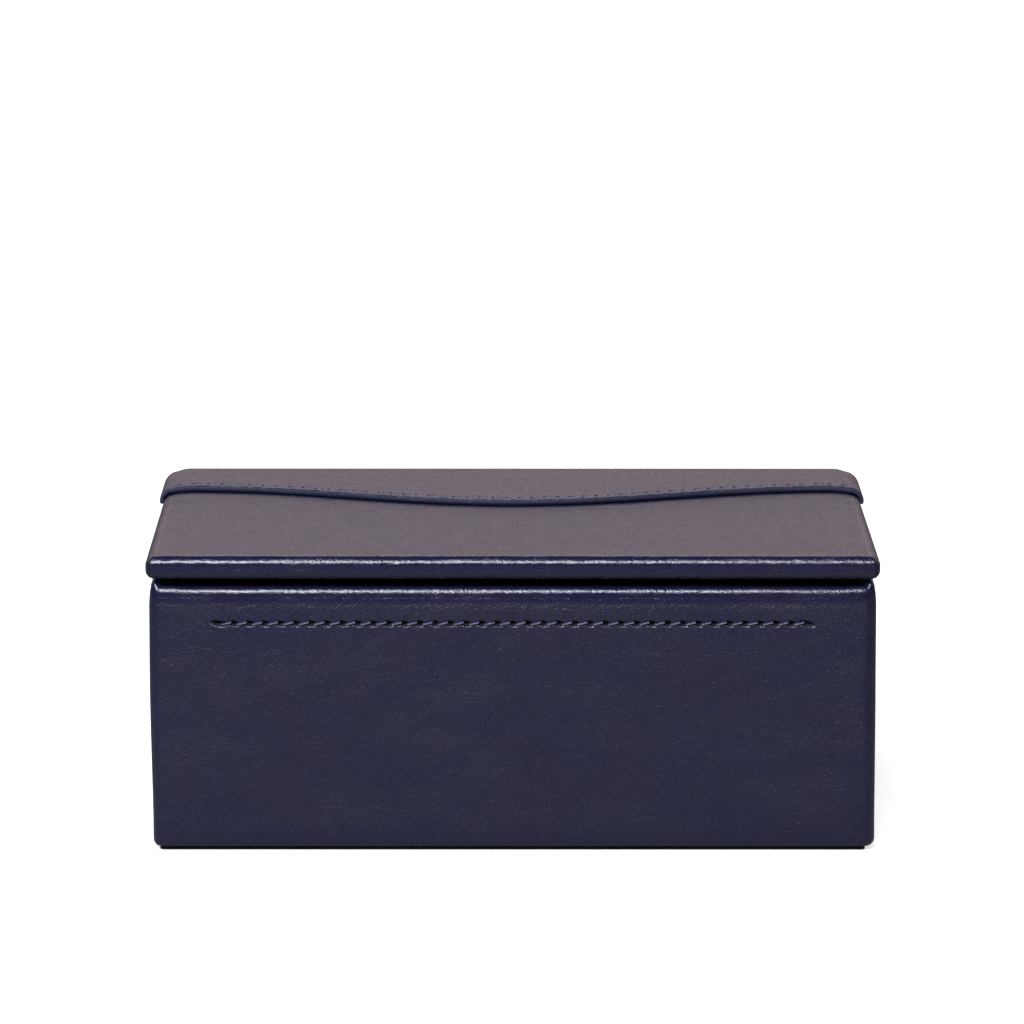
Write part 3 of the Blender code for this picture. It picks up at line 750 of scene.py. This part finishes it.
def make_hinge_leather():
    shares = hinge_columns()
    wide_x = np.clip(shares * side_reach, -lid_high.x, lid_high.x)
    flap_x = shares * hinge_half
    front = back_outer - ogee(wide_x, YOKE_END, YOKE_RISE)
    low = flat_of_height(rim - ogee(flap_x, FLAP_END, FLAP_RISE))
    rows = [front + step * slant(wide_x, YOKE_RISE) for step in NEAR_EDGE]
    settle, roll = corner_cut
    rows += [rows[-1] + (settle - rows[-1]) * k / 6 for k in range(1, 7)]
    rows += [np.full(len(shares), settle + (roll - settle) * k / 10) for k in range(1, 11)]
    rows += [np.full(len(shares), roll_start + quarter * k / 10) for k in range(1, 11)]
    hinge_top, hinge_low = flat_of_height(strip_high.z), flat_of_height(strip_low.z)
    rows.append(np.full(len(shares), (roll_start + quarter + hinge_top) / 2))
    rows += [np.full(len(shares), hinge_top + (hinge_low - hinge_top) * k / 18) for k in range(19)]
    start = rows[-1][0]
    near_low = [low - step * slant(flap_x, FLAP_RISE) for step in NEAR_EDGE[::-1]]
    rows += [start + (near_low[0] - start) * k / 9 for k in range(1, 9)]
    v = np.array(rows + near_low)
    narrowing = ease((v - settle) / (roll - settle))
    half = side_reach + (hinge_half - side_reach) * narrowing
    u = shares[None] * half
    inner, out = wrapped(u, v)
    side_angle = wrap_over(u, side_start)[0]
    depth = thickness + (YOKE_SIDE - thickness) * np.sin(side_angle) ** 2
    from_edge = np.minimum(half - np.abs(u), np.minimum(v - v[0], v[-1] - v))
    depth = depth - ARRIS_DROP * (1 - np.clip(from_edge / ARRIS, 0, 1)) ** 2
    outer = inner + out * depth[..., None]
    flat = outer.reshape(-1, 3)
    # dark gathers the painted shade of the stitch holes
    dark = np.zeros(len(flat))
    for seam, size, bed in ((yoke_seam, YOKE_HOLE_SIZE, YOKE_BED), (back_seam, BACK_HOLE_SIZE, 0)):
        depth, inside = pressed(flat, seam, size)
        depth = np.maximum(depth, stitch_beds(flat, seam, bed))
        flat, dark = flat - out.reshape(-1, 3) * depth[:, None], np.maximum(dark, inside)
    outer, dark = flat.reshape(outer.shape), dark.reshape(v.shape)
    channel = CHANNEL * np.exp(-((inner[..., 2] - pivot.z) / CHANNEL_WIDTH) ** 2)
    channel = np.where(v > roll_start, channel, 0)[..., None] * out
    cells = np.ones((v.shape[0] - 1, v.shape[1] - 1), bool)
    cut = (from_edge < 0.01 * MM).astype(float)
    bend = np.where(v > roll_start, np.exp(-((inner[..., 2] - pivot.z) / (2 * CHANNEL_WIDTH)) ** 2), 0)
    marks = {"edge": (cut, cut), "flesh": (np.zeros_like(cut), np.ones_like(cut)), "fold": (bend, bend),
             "hole": (dark, np.zeros_like(dark))}
    return thick_sheet("hinge_leather", outer - channel, inner - channel * 0.6, cells, marks)


hinge_leather = make_hinge_leather()
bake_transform(hinge_leather)
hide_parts("yoke", "hinge_strip", "back_flap")
print("faces in the hinge leather:", len(hinge_leather.data.polygons))

# %% [markdown]
# ## The threads
# Each seam is sewn with one thread, so each seam is one object here. It rides with the leather
# that it is sewn through.

# %% Sew the five seams
SUNK, BEDDED = -0.06 * MM, -0.40 * MM
for name, places, body, rise in (("front", front_seam, "box", STITCH_RISE),
                                 ("left", left_seam, "box", STITCH_RISE),
                                 ("right", right_seam, "box", STITCH_RISE),
                                 ("back", back_seam, "box", SUNK), ("yoke", yoke_seam, "lid", BEDDED)):
    thread = sew(name + "_thread", places, rise)
    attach(thread, body)
    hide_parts(name + "_stitching")
    print(name, "thread:", len(thread.data.polygons), "faces")

# %% [markdown]
# ## The suede lining
# Inside, cards are wrapped in thin suede and glued in: one to each wall, one on the floor over a
# felt pad, and one under the lid, where it drops into the mouth of the case. Suede hides its
# card's sharp edges, so each section is rounded and its face stands a little proud in the middle.

# %% Read the places of the linings
lining_low, lining_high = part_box("left_lining")
lining_bottom, lining_top = lining_low.z, lining_high.z
lining_outer = body_high.x + lining_low.x
floor_low, floor_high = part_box("floor_lining")
cap_low, cap_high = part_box("lid_lining")
LINING = 1.0 * MM
LINING_STEP = RIM_WIDTH + GLUE
lining_inner = LINING_STEP + LINING
step_height = rim - TURN_IN - GLUE
print("linings from", round(lining_bottom / MM, 1), "to", round(lining_top / MM, 1))

# %% Line the four walls
SOFT_EDGE = 0.45 * MM
NAP_SWELL = 0.12 * MM
WALLS = (("front", (0, -1)), ("back", (0, 1)), ("left", (-1, 0)), ("right", (1, 0)))


def lining_section():
    soft = (SOFT_EDGE, SOFT_EDGE)
    rows = [(lining_outer, lining_bottom), (lining_outer, step_height), (LINING_STEP, step_height)]
    rows += arc((LINING_STEP + SOFT_EDGE, lining_top - SOFT_EDGE), soft, 180, 90, 3)
    rows += arc((lining_inner - SOFT_EDGE, lining_top - SOFT_EDGE), soft, 90, 0, 4)
    heights = np.linspace(lining_top - SOFT_EDGE, lining_bottom, 14)[1:-1]
    rows += [(lining_inner, z) for z in heights] + [(lining_inner, lining_bottom)]
    return rows


def line_wall(name, outward):
    """A suede-covered card with mitred ends; each row ends where its own inset meets the corner."""
    outward = np.array(outward)
    along = np.array((-outward[1], outward[0]))
    centre = np.array((0, (body_low.y + body_high.y) / 2))
    deep = body_high.x if outward[0] else (body_high.y - body_low.y) / 2
    long = (body_high.y - body_low.y) / 2 if outward[0] else body_high.x
    grid = []
    for share in np.linspace(-1, 1, 90):
        column = []
        for inset, z in lining_section():
            middle = math.sin(math.pi * (z - lining_bottom) / (lining_top - lining_bottom))
            soft = NAP_SWELL * max(middle, 0) * (1 - share ** 6) if inset == lining_inner else 0
            reach_here = long - inset - GLUE / 2 * math.sqrt(2)
            spot = centre + outward * (deep - inset - soft) + along * reach_here * share
            column.append((*spot, z))
        grid.append(column[::-1])
    piece = capped_stack(name + "_suede", np.array(grid))
    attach(piece, "box")
    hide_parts(name + "_lining")


for name, outward in WALLS:
    line_wall(name, outward)

# %% Cover the floor and the underside of the lid
def level_panel(name, plan, rows, body, node):
    """A panel from rows of inset and height, with its corners rounded in plan."""
    shares = np.linspace(0, 1, 60)[1:-1]
    columns = make_columns(shares, shares, shares, shares)
    grid = []
    for inset, z in rows:
        xy, _ = ring_xy(plan, inset, columns)
        grid.append(np.column_stack([xy, np.full(len(xy), z)]))
    piece = capped_stack(name, np.array(grid))
    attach(piece, body)
    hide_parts(node)
    return piece


def face_rows(inset, z, rise, steps=14):
    """Rows from a panel's rounded edge to the middle of its face, which stands a little proud."""
    middle = (body_high.y - body_low.y) / 2 - PANEL_MIDDLE
    shares = [k / steps for k in range(1, steps + 1)]
    return [(inset + (middle - inset) * share, z + rise * ease(share * 3)) for share in shares]


soft = (SOFT_EDGE, SOFT_EDGE)
floor_inset = body_high.x - floor_high.x
edge_centre = (floor_inset + SOFT_EDGE, floor_high.z - SOFT_EDGE)
floor_rows = [(floor_inset, floor_low.z)] + arc(edge_centre, soft, 180, 90, 4)
floor_rows += face_rows(floor_inset + SOFT_EDGE, floor_high.z, NAP_SWELL)
level_panel("floor_suede", body_plan, floor_rows, "box", "floor_lining")

cap_inset = lining_inner + 1.2 * MM
cap_top = lid_low.z - GLUE
plug_inset = LID_TURN + GLUE - (lid_high.x - body_high.x)
plug_rows = [(plug_inset, cap_high.z), (plug_inset, cap_top), (cap_inset, cap_top)]
plug_rows += arc((cap_inset + SOFT_EDGE, cap_low.z + SOFT_EDGE), soft, 180, 270, 4)
plug_rows += face_rows(cap_inset + SOFT_EDGE, cap_low.z, -NAP_SWELL)
level_panel("lid_suede", body_plan, plug_rows[::-1], "lid", "lid_lining")

# %% Soften the edge of the base leather
base_low, base_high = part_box("base_leather")
base_inset = body_high.x - base_high.x
BASE_EDGE = 0.4 * MM
base_rows = [(base_inset + BASE_EDGE, base_low.z)]
base_rows += arc((base_inset + BASE_EDGE, base_low.z + BASE_EDGE), (BASE_EDGE, BASE_EDGE), 270, 180, 4)[1:]
base_rows += arc((base_inset + BASE_EDGE, base_high.z - BASE_EDGE), (BASE_EDGE, BASE_EDGE), 180, 90, 4)
level_panel("base_skin", body_plan, base_rows, "box", "base_leather")

# %% [markdown]
# ## Materials
# Nothing here is an image. Every finish is worked out from the place of a point on the piece, in
# metres, so its grain has a real size. What several finishes share is built once as a node group.
# A group gives out only masks, colours and heights, and the shader stays in the material.

# %% Short ways to write nodes
def add(tree, kind, inputs=None, **settings):
    """A node with its settings; each input is either a value or a socket to link."""
    made = tree.nodes.new(kind)
    for key, value in settings.items():
        setattr(made, key, value)
    for key, value in (inputs or {}).items():
        if isinstance(value, bpy.types.NodeSocket):
            tree.links.new(value, made.inputs[key])
        else:
            made.inputs[key].default_value = value
    return made


def maths(tree, operation, *values):
    return add(tree, "ShaderNodeMath", dict(enumerate(values)), operation=operation).outputs[0]


def ramp(tree, value, low, high, to_low=0.0, to_high=1.0):
    inputs = {"Value": value, "From Min": low, "From Max": high, "To Min": to_low, "To Max": to_high}
    return add(tree, "ShaderNodeMapRange", inputs, interpolation_type="SMOOTHSTEP").outputs[0]


def noise(tree, vector, scale, detail=2.0, roughness=0.5):
    inputs = {"Vector": vector, "Scale": scale, "Detail": detail, "Roughness": roughness}
    return add(tree, "ShaderNodeTexNoise", inputs).outputs[0]


def stretched(tree, vector, *scales):
    return add(tree, "ShaderNodeVectorMath", {0: vector, 1: scales}, operation="MULTIPLY").outputs[0]


def mixed(tree, share, first, second):
    made = add(tree, "ShaderNodeMix", {0: share, 6: first, 7: second}, data_type="RGBA")
    return made.outputs[2]


def colour(red, green, blue):
    return (red, green, blue, 1.0)


def new_group(name, inputs, outputs):
    """An empty node group with named sockets; gives the group, its inputs and its outputs."""
    group = bpy.data.node_groups.new(name, "ShaderNodeTree")
    for label, value in inputs.items():
        kind = "NodeSocketVector" if value is None else "NodeSocketFloat"
        socket = group.interface.new_socket(label, in_out="INPUT", socket_type=kind)
        if value is not None:
            socket.default_value = value
    for label in outputs:
        group.interface.new_socket(label, in_out="OUTPUT", socket_type="NodeSocketFloat")
    return group, group.nodes.new("NodeGroupInput").outputs, group.nodes.new("NodeGroupOutput").inputs


def place_group(tree, group, inputs):
    return add(tree, "ShaderNodeGroup", inputs, node_tree=group).outputs


# %% [markdown]
# ### Leather grain
# Tanned and polished leather has small pebbles of about half a millimetre, parted by fine lines,
# and larger soft hills. Its dye takes unevenly, which gives cloudy patches and, where the hide was
# rolled, faint streaks. The group gives out a height in millimetres and the patches as masks.

# %% Build the grain group
def make_grain_group():
    depths = {"Place": None, "Pebble": 0.03, "Hills": 0.06, "Waves": 0.3}
    masks = ("Height", "Clouds", "Streaks", "Specks", "Pores")
    group, given, out = new_group("leather_grain", depths, masks)
    place = given["Place"]
    bent = add(group, "ShaderNodeTexNoise", {"Vector": place, "Scale": 900.0, "Detail": 1.0}).outputs[1]
    bent = stretched(group, bent, 0.0006, 0.0006, 0.0006)
    bent = add(group, "ShaderNodeVectorMath", {0: place, 1: bent}, operation="ADD").outputs[0]
    cells = add(group, "ShaderNodeTexVoronoi", {"Vector": bent, "Scale": 1700.0}).outputs["Distance"]
    pebble = ramp(group, cells, 0.15, 0.75, 1.0, 0.0)
    hills = noise(group, place, 420.0, 3.0, 0.6)
    waves = noise(group, stretched(group, place, 55.0, 95.0, 60.0), 1.0, 3.0, 0.55)
    height = 0.0
    for layer, depth in ((pebble, given["Pebble"]), (hills, given["Hills"]), (waves, given["Waves"])):
        centred = maths(group, "SUBTRACT", layer, 0.5)
        height = maths(group, "MULTIPLY_ADD", centred, depth, height)
    group.links.new(height, out["Height"])
    clouds = noise(group, place, 45.0, 6.0, 0.68)
    group.links.new(ramp(group, clouds, 0.38, 0.64), out["Clouds"])
    streaks = noise(group, stretched(group, place, 26.0, 85.0, 60.0), 1.0, 2.5, 0.6)
    group.links.new(ramp(group, streaks, 0.42, 0.66), out["Streaks"])
    specks = noise(group, place, 1500.0, 2.0, 0.7)
    group.links.new(ramp(group, specks, 0.36, 0.64), out["Specks"])
    group.links.new(maths(group, "SUBTRACT", 1.0, pebble), out["Pores"])
    return group


grain_group = make_grain_group()

# %% [markdown]
# ### Creases on a fold
# Where leather is bent over an edge, its surface gathers in short slanted creases, and polish
# wears brighter on them. They follow the fold mark that was stored with each mesh, so they stay
# off the flat faces.

# %% Build the crease group
def make_crease_group():
    group, given, out = new_group("fold_creases", {"Place": None, "Fold": 0.0, "Depth": 0.05, "Rolls": 0.1},
                                  ("Height", "Polish"))
    parts = add(group, "ShaderNodeSeparateXYZ", {0: given["Place"]}).outputs
    slanted = maths(group, "MULTIPLY_ADD", parts["Y"], 0.5, parts["X"])
    slanted = maths(group, "MULTIPLY_ADD", parts["Z"], 0.4, slanted)
    lines = add(group, "ShaderNodeCombineXYZ", {0: slanted, 1: parts["Y"], 2: parts["Z"]}).outputs[0]
    ropes = noise(group, stretched(group, lines, 1000.0, 300.0, 300.0), 1.0, 3.0, 0.65)
    fold = ramp(group, given["Fold"], 0.1, 0.9)
    height = maths(group, "MULTIPLY", ramp(group, ropes, 0.3, 0.7), given["Depth"])
    rolls = noise(group, given["Place"], 240.0, 2.0, 0.5)
    height = maths(group, "MULTIPLY_ADD", rolls, given["Rolls"], height)
    group.links.new(maths(group, "MULTIPLY", height, fold), out["Height"])
    worn = ramp(group, noise(group, given["Place"], 160.0, 3.0, 0.6), 0.35, 0.65, 0.7, 1.0)
    group.links.new(maths(group, "MULTIPLY", worn, fold), out["Polish"])
    return group


crease_group = make_crease_group()

# %% Build the fibre group
def make_fibre_group():
    """Short matted fibres, for cut edges, flesh sides, suede, felt and board."""
    group, given, out = new_group("fibres", {"Place": None, "Scale": 1500.0}, ("Height", "Shade"))
    fine = noise(group, given["Place"], given["Scale"], 3.0, 0.7)
    coarse = noise(group, given["Place"], maths(group, "MULTIPLY", given["Scale"], 0.16), 2.0, 0.5)
    group.links.new(maths(group, "MULTIPLY_ADD", coarse, 0.5, fine), out["Height"])
    group.links.new(ramp(group, fine, 0.35, 0.7), out["Shade"])
    return group


fibre_group = make_fibre_group()
print("node groups:", [group.name for group in bpy.data.node_groups])

# %% Start a material
def new_material(name, roughness, ior=1.45):
    made = bpy.data.materials.new(name)
    made.use_nodes = True
    shader = made.node_tree.nodes["Principled BSDF"]
    shader.inputs["Roughness"].default_value = roughness
    shader.inputs["IOR"].default_value = ior
    return made, made.node_tree, shader


def mark(tree, name):
    return add(tree, "ShaderNodeAttribute", attribute_name=name).outputs["Fac"]


def bump(tree, shader, height, strength=1.0):
    """Heights are in millimetres."""
    made = add(tree, "ShaderNodeBump", {"Height": height, "Distance": MM, "Strength": strength})
    tree.links.new(made.outputs[0], shader.inputs["Normal"])


# %% [markdown]
# ### Navy leather
# One finish serves all three skins. The marks on the mesh choose between its parts: the polished
# grain side, the creased folds, the raw cut edge with its loose fibres, the flesh side, and painted
# shade in the holes and grooves. The top of the lid is handled the most, so it is glossier and its
# grain stands out.

# %% Make the navy leather
DEEP_NAVY = colour(0.0020, 0.0046, 0.027)
WARM_NAVY = colour(0.0080, 0.0036, 0.022)
STREAK_NAVY = colour(0.003, 0.003, 0.016)
SPECK_NAVY = colour(0.012, 0.012, 0.044)
EDGE_NAVY = colour(0.007, 0.011, 0.040)
EDGE_FIBRE = colour(0.040, 0.052, 0.125)
FLESH_NAVY = colour(0.018, 0.018, 0.036)
# Painted shade: near-black for the stitch holes, the mitre grooves and the lid's pleat holes.
PAINTED_HOLE_SHADE = colour(0.001, 0.001, 0.002)
SPECULAR_LEVEL = 0.7
SMOOTH, PORES_ADD, STREAKS_ADD, RAW_ADDS = 0.29, 0.06, 0.07, 0.45
FOLDS_SHINE, TOP_SHINES = 0.14, 0.05
FOLD_GRAIN, TOP_GRAIN = 0.35, 1.9
TOP_STARTS, TOP_WHOLE = 2 * MM, 0.7 * MM


def make_navy_leather():
    made, tree, shader = new_material("navy_leather", 0.38, ior=1.5)
    shader.inputs["Specular IOR Level"].default_value = SPECULAR_LEVEL
    place = add(tree, "ShaderNodeAttribute", attribute_name="place").outputs["Vector"]
    grain = place_group(tree, grain_group, {"Place": place, "Pebble": 0.068, "Hills": 0.125, "Waves": 0.7})
    fold = mark(tree, "fold")
    height = add(tree, "ShaderNodeSeparateXYZ", {0: place}).outputs["Z"]
    top = ramp(tree, height, lid_high.z - TOP_STARTS, lid_high.z - TOP_WHOLE)
    crease = place_group(tree, crease_group, {"Place": place, "Fold": fold, "Depth": 0.06, "Rolls": 0.22})
    fibre = place_group(tree, fibre_group, {"Place": place, "Scale": 1600.0})
    edge, flesh = ramp(tree, mark(tree, "edge"), 0.5, 0.9), ramp(tree, mark(tree, "flesh"), 0.4, 0.6)
    rough_side = maths(tree, "MAXIMUM", edge, flesh)
    shade = mixed(tree, grain["Clouds"], DEEP_NAVY, WARM_NAVY)
    shade = mixed(tree, maths(tree, "MULTIPLY", grain["Streaks"], 0.45), shade, STREAK_NAVY)
    shade = mixed(tree, maths(tree, "MULTIPLY", grain["Specks"], 0.6), shade, SPECK_NAVY)
    raw = mixed(tree, fibre["Shade"], FLESH_NAVY, EDGE_NAVY)
    cut = mixed(tree, ramp(tree, fibre["Shade"], 0.55, 1.0), EDGE_NAVY, EDGE_FIBRE)
    shade = mixed(tree, edge, mixed(tree, flesh, shade, raw), cut)
    # Painted shade: the colour goes near-black where the hole mark is set.
    hole = ramp(tree, mark(tree, "hole"), 0.05, 0.4)
    tree.links.new(mixed(tree, hole, shade, PAINTED_HOLE_SHADE), shader.inputs["Base Color"])
    gloss = maths(tree, "MULTIPLY_ADD", grain["Pores"], PORES_ADD, SMOOTH)
    gloss = maths(tree, "MULTIPLY_ADD", grain["Streaks"], STREAKS_ADD, gloss)
    gloss = maths(tree, "MULTIPLY_ADD", crease["Polish"], -FOLDS_SHINE, gloss)
    gloss = maths(tree, "MULTIPLY_ADD", top, -TOP_SHINES, gloss)
    gloss = maths(tree, "MULTIPLY_ADD", maths(tree, "MAXIMUM", rough_side, hole), RAW_ADDS, gloss)
    tree.links.new(gloss, shader.inputs["Roughness"])
    drawn = ramp(tree, fold, 0.0, 1.0, 1.0, FOLD_GRAIN)
    drawn = maths(tree, "MULTIPLY", drawn, ramp(tree, top, 0.0, 1.0, 1.0, TOP_GRAIN))
    smooth_height = maths(tree, "MULTIPLY_ADD", grain["Height"], drawn, crease["Height"])
    rough_height = maths(tree, "MULTIPLY", fibre["Height"], 0.12)
    height = add(tree, "ShaderNodeMix", {0: rough_side, 2: smooth_height, 3: rough_height}).outputs[0]
    bump(tree, shader, height)
    return made


navy_leather = make_navy_leather()

# %% [markdown]
# ### Thread, suede, board and felt
# The thread is waxed, so it is glossier than the leather's flesh and picks up small glints. Suede
# is all nap: brushed one way it looks lighter, and a soft sheen shows at a low angle. Board and
# felt lie hidden and show only when the box is taken apart.

# %% Make the other finishes
THREAD_DARK = colour(0.040, 0.050, 0.095)
THREAD_LIGHT = colour(0.20, 0.23, 0.33)


def make_navy_thread():
    made, tree, shader = new_material("navy_thread", 0.5)
    place = add(tree, "ShaderNodeAttribute", attribute_name="place").outputs["Vector"]
    fibre = place_group(tree, fibre_group, {"Place": place, "Scale": 3200.0})
    shade = mixed(tree, fibre["Shade"], THREAD_DARK, THREAD_LIGHT)
    tree.links.new(shade, shader.inputs["Base Color"])
    tree.links.new(ramp(tree, fibre["Shade"], 0.0, 1.0, 0.45, 0.28), shader.inputs["Roughness"])
    bump(tree, shader, maths(tree, "MULTIPLY", fibre["Height"], 0.06))
    return made


def make_fibrous(name, dark, light, scale, depth, brushed, sheen=0.0, source="place"):
    """A matt finish of fibres; brushed is how large its lighter and darker patches are."""
    made, tree, shader = new_material(name, 0.95)
    shader.inputs["Sheen Weight"].default_value = sheen
    shader.inputs["Sheen Roughness"].default_value = 0.5
    if source == "place":
        place = add(tree, "ShaderNodeAttribute", attribute_name="place").outputs["Vector"]
    else:
        place = add(tree, "ShaderNodeTexCoord").outputs["Object"]
    fibre = place_group(tree, fibre_group, {"Place": place, "Scale": scale})
    patches = ramp(tree, noise(tree, place, brushed, 4.0, 0.6), 0.35, 0.65)
    share = maths(tree, "MULTIPLY_ADD", fibre["Shade"], 0.5, maths(tree, "MULTIPLY", patches, 0.5))
    tree.links.new(mixed(tree, share, colour(*dark), colour(*light)), shader.inputs["Base Color"])
    tree.links.new(ramp(tree, share, 0.0, 1.0, 1.0, 0.85), shader.inputs["Roughness"])
    bump(tree, shader, maths(tree, "MULTIPLY", fibre["Height"], depth))
    return made


navy_thread = make_navy_thread()
tan_suede = make_fibrous("tan_suede", (0.25, 0.14, 0.070), (0.44, 0.28, 0.155), 1300.0, 0.10, 60.0, 0.25)
grey_board = make_fibrous("grey_board", (0.20, 0.17, 0.13), (0.34, 0.30, 0.24), 900.0, 0.05, 260.0,
                          source="object")
grey_felt = make_fibrous("grey_felt", (0.12, 0.115, 0.11), (0.26, 0.25, 0.24), 1100.0, 0.15, 120.0, 0.2,
                         source="object")

# %% Give every piece its finish
FINISHES = {"navy_leather": navy_leather, "navy_thread": navy_thread, "tan_suede": tan_suede,
            "grey_board": grey_board, "grey_felt": grey_felt}
PIECE_FINISHES = {"skin": "navy_leather", "leather": "navy_leather", "thread": "navy_thread",
                  "suede": "tan_suede"}
for piece in bpy.data.objects:
    if piece.type == "MESH" and piece.name not in frame["nodes"]:
        piece.data.materials.append(FINISHES[PIECE_FINISHES[piece.name.rsplit("_", 1)[-1]]])
for name, node in frame["nodes"].items():
    finish = "grey_felt" if name == "floor_pad" else "grey_board"
    for slot in node.material_slots:
        slot.material = FINISHES[finish]
print("materials:", sorted(material.name for material in FINISHES.values()))

# %% [markdown]
# ## Floor and light
# The box stands on a plain pale floor in a white studio. One softbox hangs in front and above: it
# draws the bright line along the folded rims. What the lid's flat top shows is the backdrop,
# mirrored at a low angle, which gets brighter upwards. The front mirrors the table before it,
# which is dim and fades with distance. So the floor is white only where the camera sees it
# directly, and it keeps the box's shadow.

# %% Lay the floor
FLOOR_SIZE = 8.0
FLOOR_SEEN = colour(0.9, 0.9, 0.9)
FLOOR_MIRRORED = colour(0.25, 0.25, 0.25)
FLOOR_FAR = colour(0.10, 0.10, 0.10)
FLOOR_GLOW = 0.63
TABLE_NEAR, TABLE_FAR = 0.30, 0.80
corners = [(-1, -1), (1, -1), (1, 1), (-1, 1)]
floor_points = [(x * FLOOR_SIZE, y * FLOOR_SIZE, 0) for x, y in corners]
floor_mesh = bpy.data.meshes.new("studio_floor")
floor_mesh.from_pydata(floor_points, [], [(0, 1, 2, 3)])
floor = bpy.data.objects.new("studio_floor", floor_mesh)
bpy.context.scene.collection.objects.link(floor)


def make_floor_finish():
    made = bpy.data.materials.new("studio_floor")
    made.use_nodes = True
    tree = made.node_tree
    tree.nodes.clear()
    seen = add(tree, "ShaderNodeLightPath").outputs["Is Camera Ray"]
    place = add(tree, "ShaderNodeTexCoord").outputs["Object"]
    away = add(tree, "ShaderNodeVectorMath", {0: place}, operation="LENGTH").outputs["Value"]
    table = mixed(tree, ramp(tree, away, TABLE_NEAR, TABLE_FAR), FLOOR_MIRRORED, FLOOR_FAR)
    grey = mixed(tree, seen, table, FLOOR_SEEN)
    diffuse = add(tree, "ShaderNodeBsdfDiffuse", {"Color": grey})
    glow = add(tree, "ShaderNodeEmission", {"Strength": maths(tree, "MULTIPLY", seen, FLOOR_GLOW)})
    both = add(tree, "ShaderNodeAddShader", {0: diffuse.outputs[0], 1: glow.outputs[0]})
    add(tree, "ShaderNodeOutputMaterial", {"Surface": both.outputs[0]})
    return made


floor.data.materials.append(make_floor_finish())

# %% Fill the studio
AMBIENT = 0.4
OVERHEAD = 0.04
IN_FRONT = 0.05
BACKDROP_LOW, BACKDROP_HIGH = 0.27, 1.7
BACKDROP_TINT = colour(1.0, 0.83, 0.84)
RISE_STARTS, RISE_ENDS = 0.12, 0.5
TOP_FADES, TOP_DARK = 0.55, 0.8
BEHIND_STARTS, BEHIND_WHOLE = 0.0, 0.5


def make_studio():
    """White for the camera, even for matt surfaces, and a low white backdrop for glossy ones."""
    world = bpy.data.worlds.new("studio")
    bpy.context.scene.world = world
    world.use_nodes = True
    tree = world.node_tree
    tree.nodes.clear()
    way = add(tree, "ShaderNodeTexCoord").outputs["Generated"]
    parts = add(tree, "ShaderNodeSeparateXYZ", {0: way}).outputs
    rising = ramp(tree, parts["Z"], RISE_STARTS, RISE_ENDS, BACKDROP_LOW, BACKDROP_HIGH)
    behind = ramp(tree, parts["Y"], BEHIND_STARTS, BEHIND_WHOLE)
    behind = maths(tree, "MULTIPLY", behind, rising)
    behind = maths(tree, "MAXIMUM", behind, IN_FRONT)
    low = ramp(tree, parts["Z"], TOP_FADES, TOP_DARK, 1.0, 0.0)
    mirrored = maths(tree, "MAXIMUM", maths(tree, "MULTIPLY", behind, low), OVERHEAD)
    path = add(tree, "ShaderNodeLightPath").outputs
    level = add(tree, "ShaderNodeMix", {0: path["Is Glossy Ray"], 2: AMBIENT, 3: mirrored}).outputs[0]
    level = add(tree, "ShaderNodeMix", {0: path["Is Camera Ray"], 2: level, 3: 1.0}).outputs[0]
    tint = mixed(tree, path["Is Glossy Ray"], colour(1, 1, 1), BACKDROP_TINT)
    shine = add(tree, "ShaderNodeBackground", {"Color": tint, "Strength": level})
    add(tree, "ShaderNodeOutputWorld", {"Surface": shine.outputs[0]})


make_studio()

# %% Hang the softbox
SOFTBOX_PLACE = Vector((-0.32, -1.15, 1.16))
SOFTBOX_SIZE = (1.0, 0.50)
SOFTBOX_POWER = 34.0
SOFTBOX_COLOUR = (0.95, 0.98, 1.07)
softbox_data = bpy.data.lights.new("softbox", "AREA")
softbox_data.shape = "RECTANGLE"
softbox_data.size, softbox_data.size_y = SOFTBOX_SIZE
softbox_data.energy = SOFTBOX_POWER
softbox_data.color = SOFTBOX_COLOUR
softbox = bpy.data.objects.new("softbox", softbox_data)
softbox.location = SOFTBOX_PLACE
aim = Vector((0, 0, lid_low.z)) - SOFTBOX_PLACE
softbox.rotation_euler = aim.to_track_quat("-Z", "Y").to_euler()
bpy.context.scene.collection.objects.link(softbox)
bpy.context.scene.view_settings.view_transform = "Standard"
print("softbox", round(aim.length, 2), "m from the box")
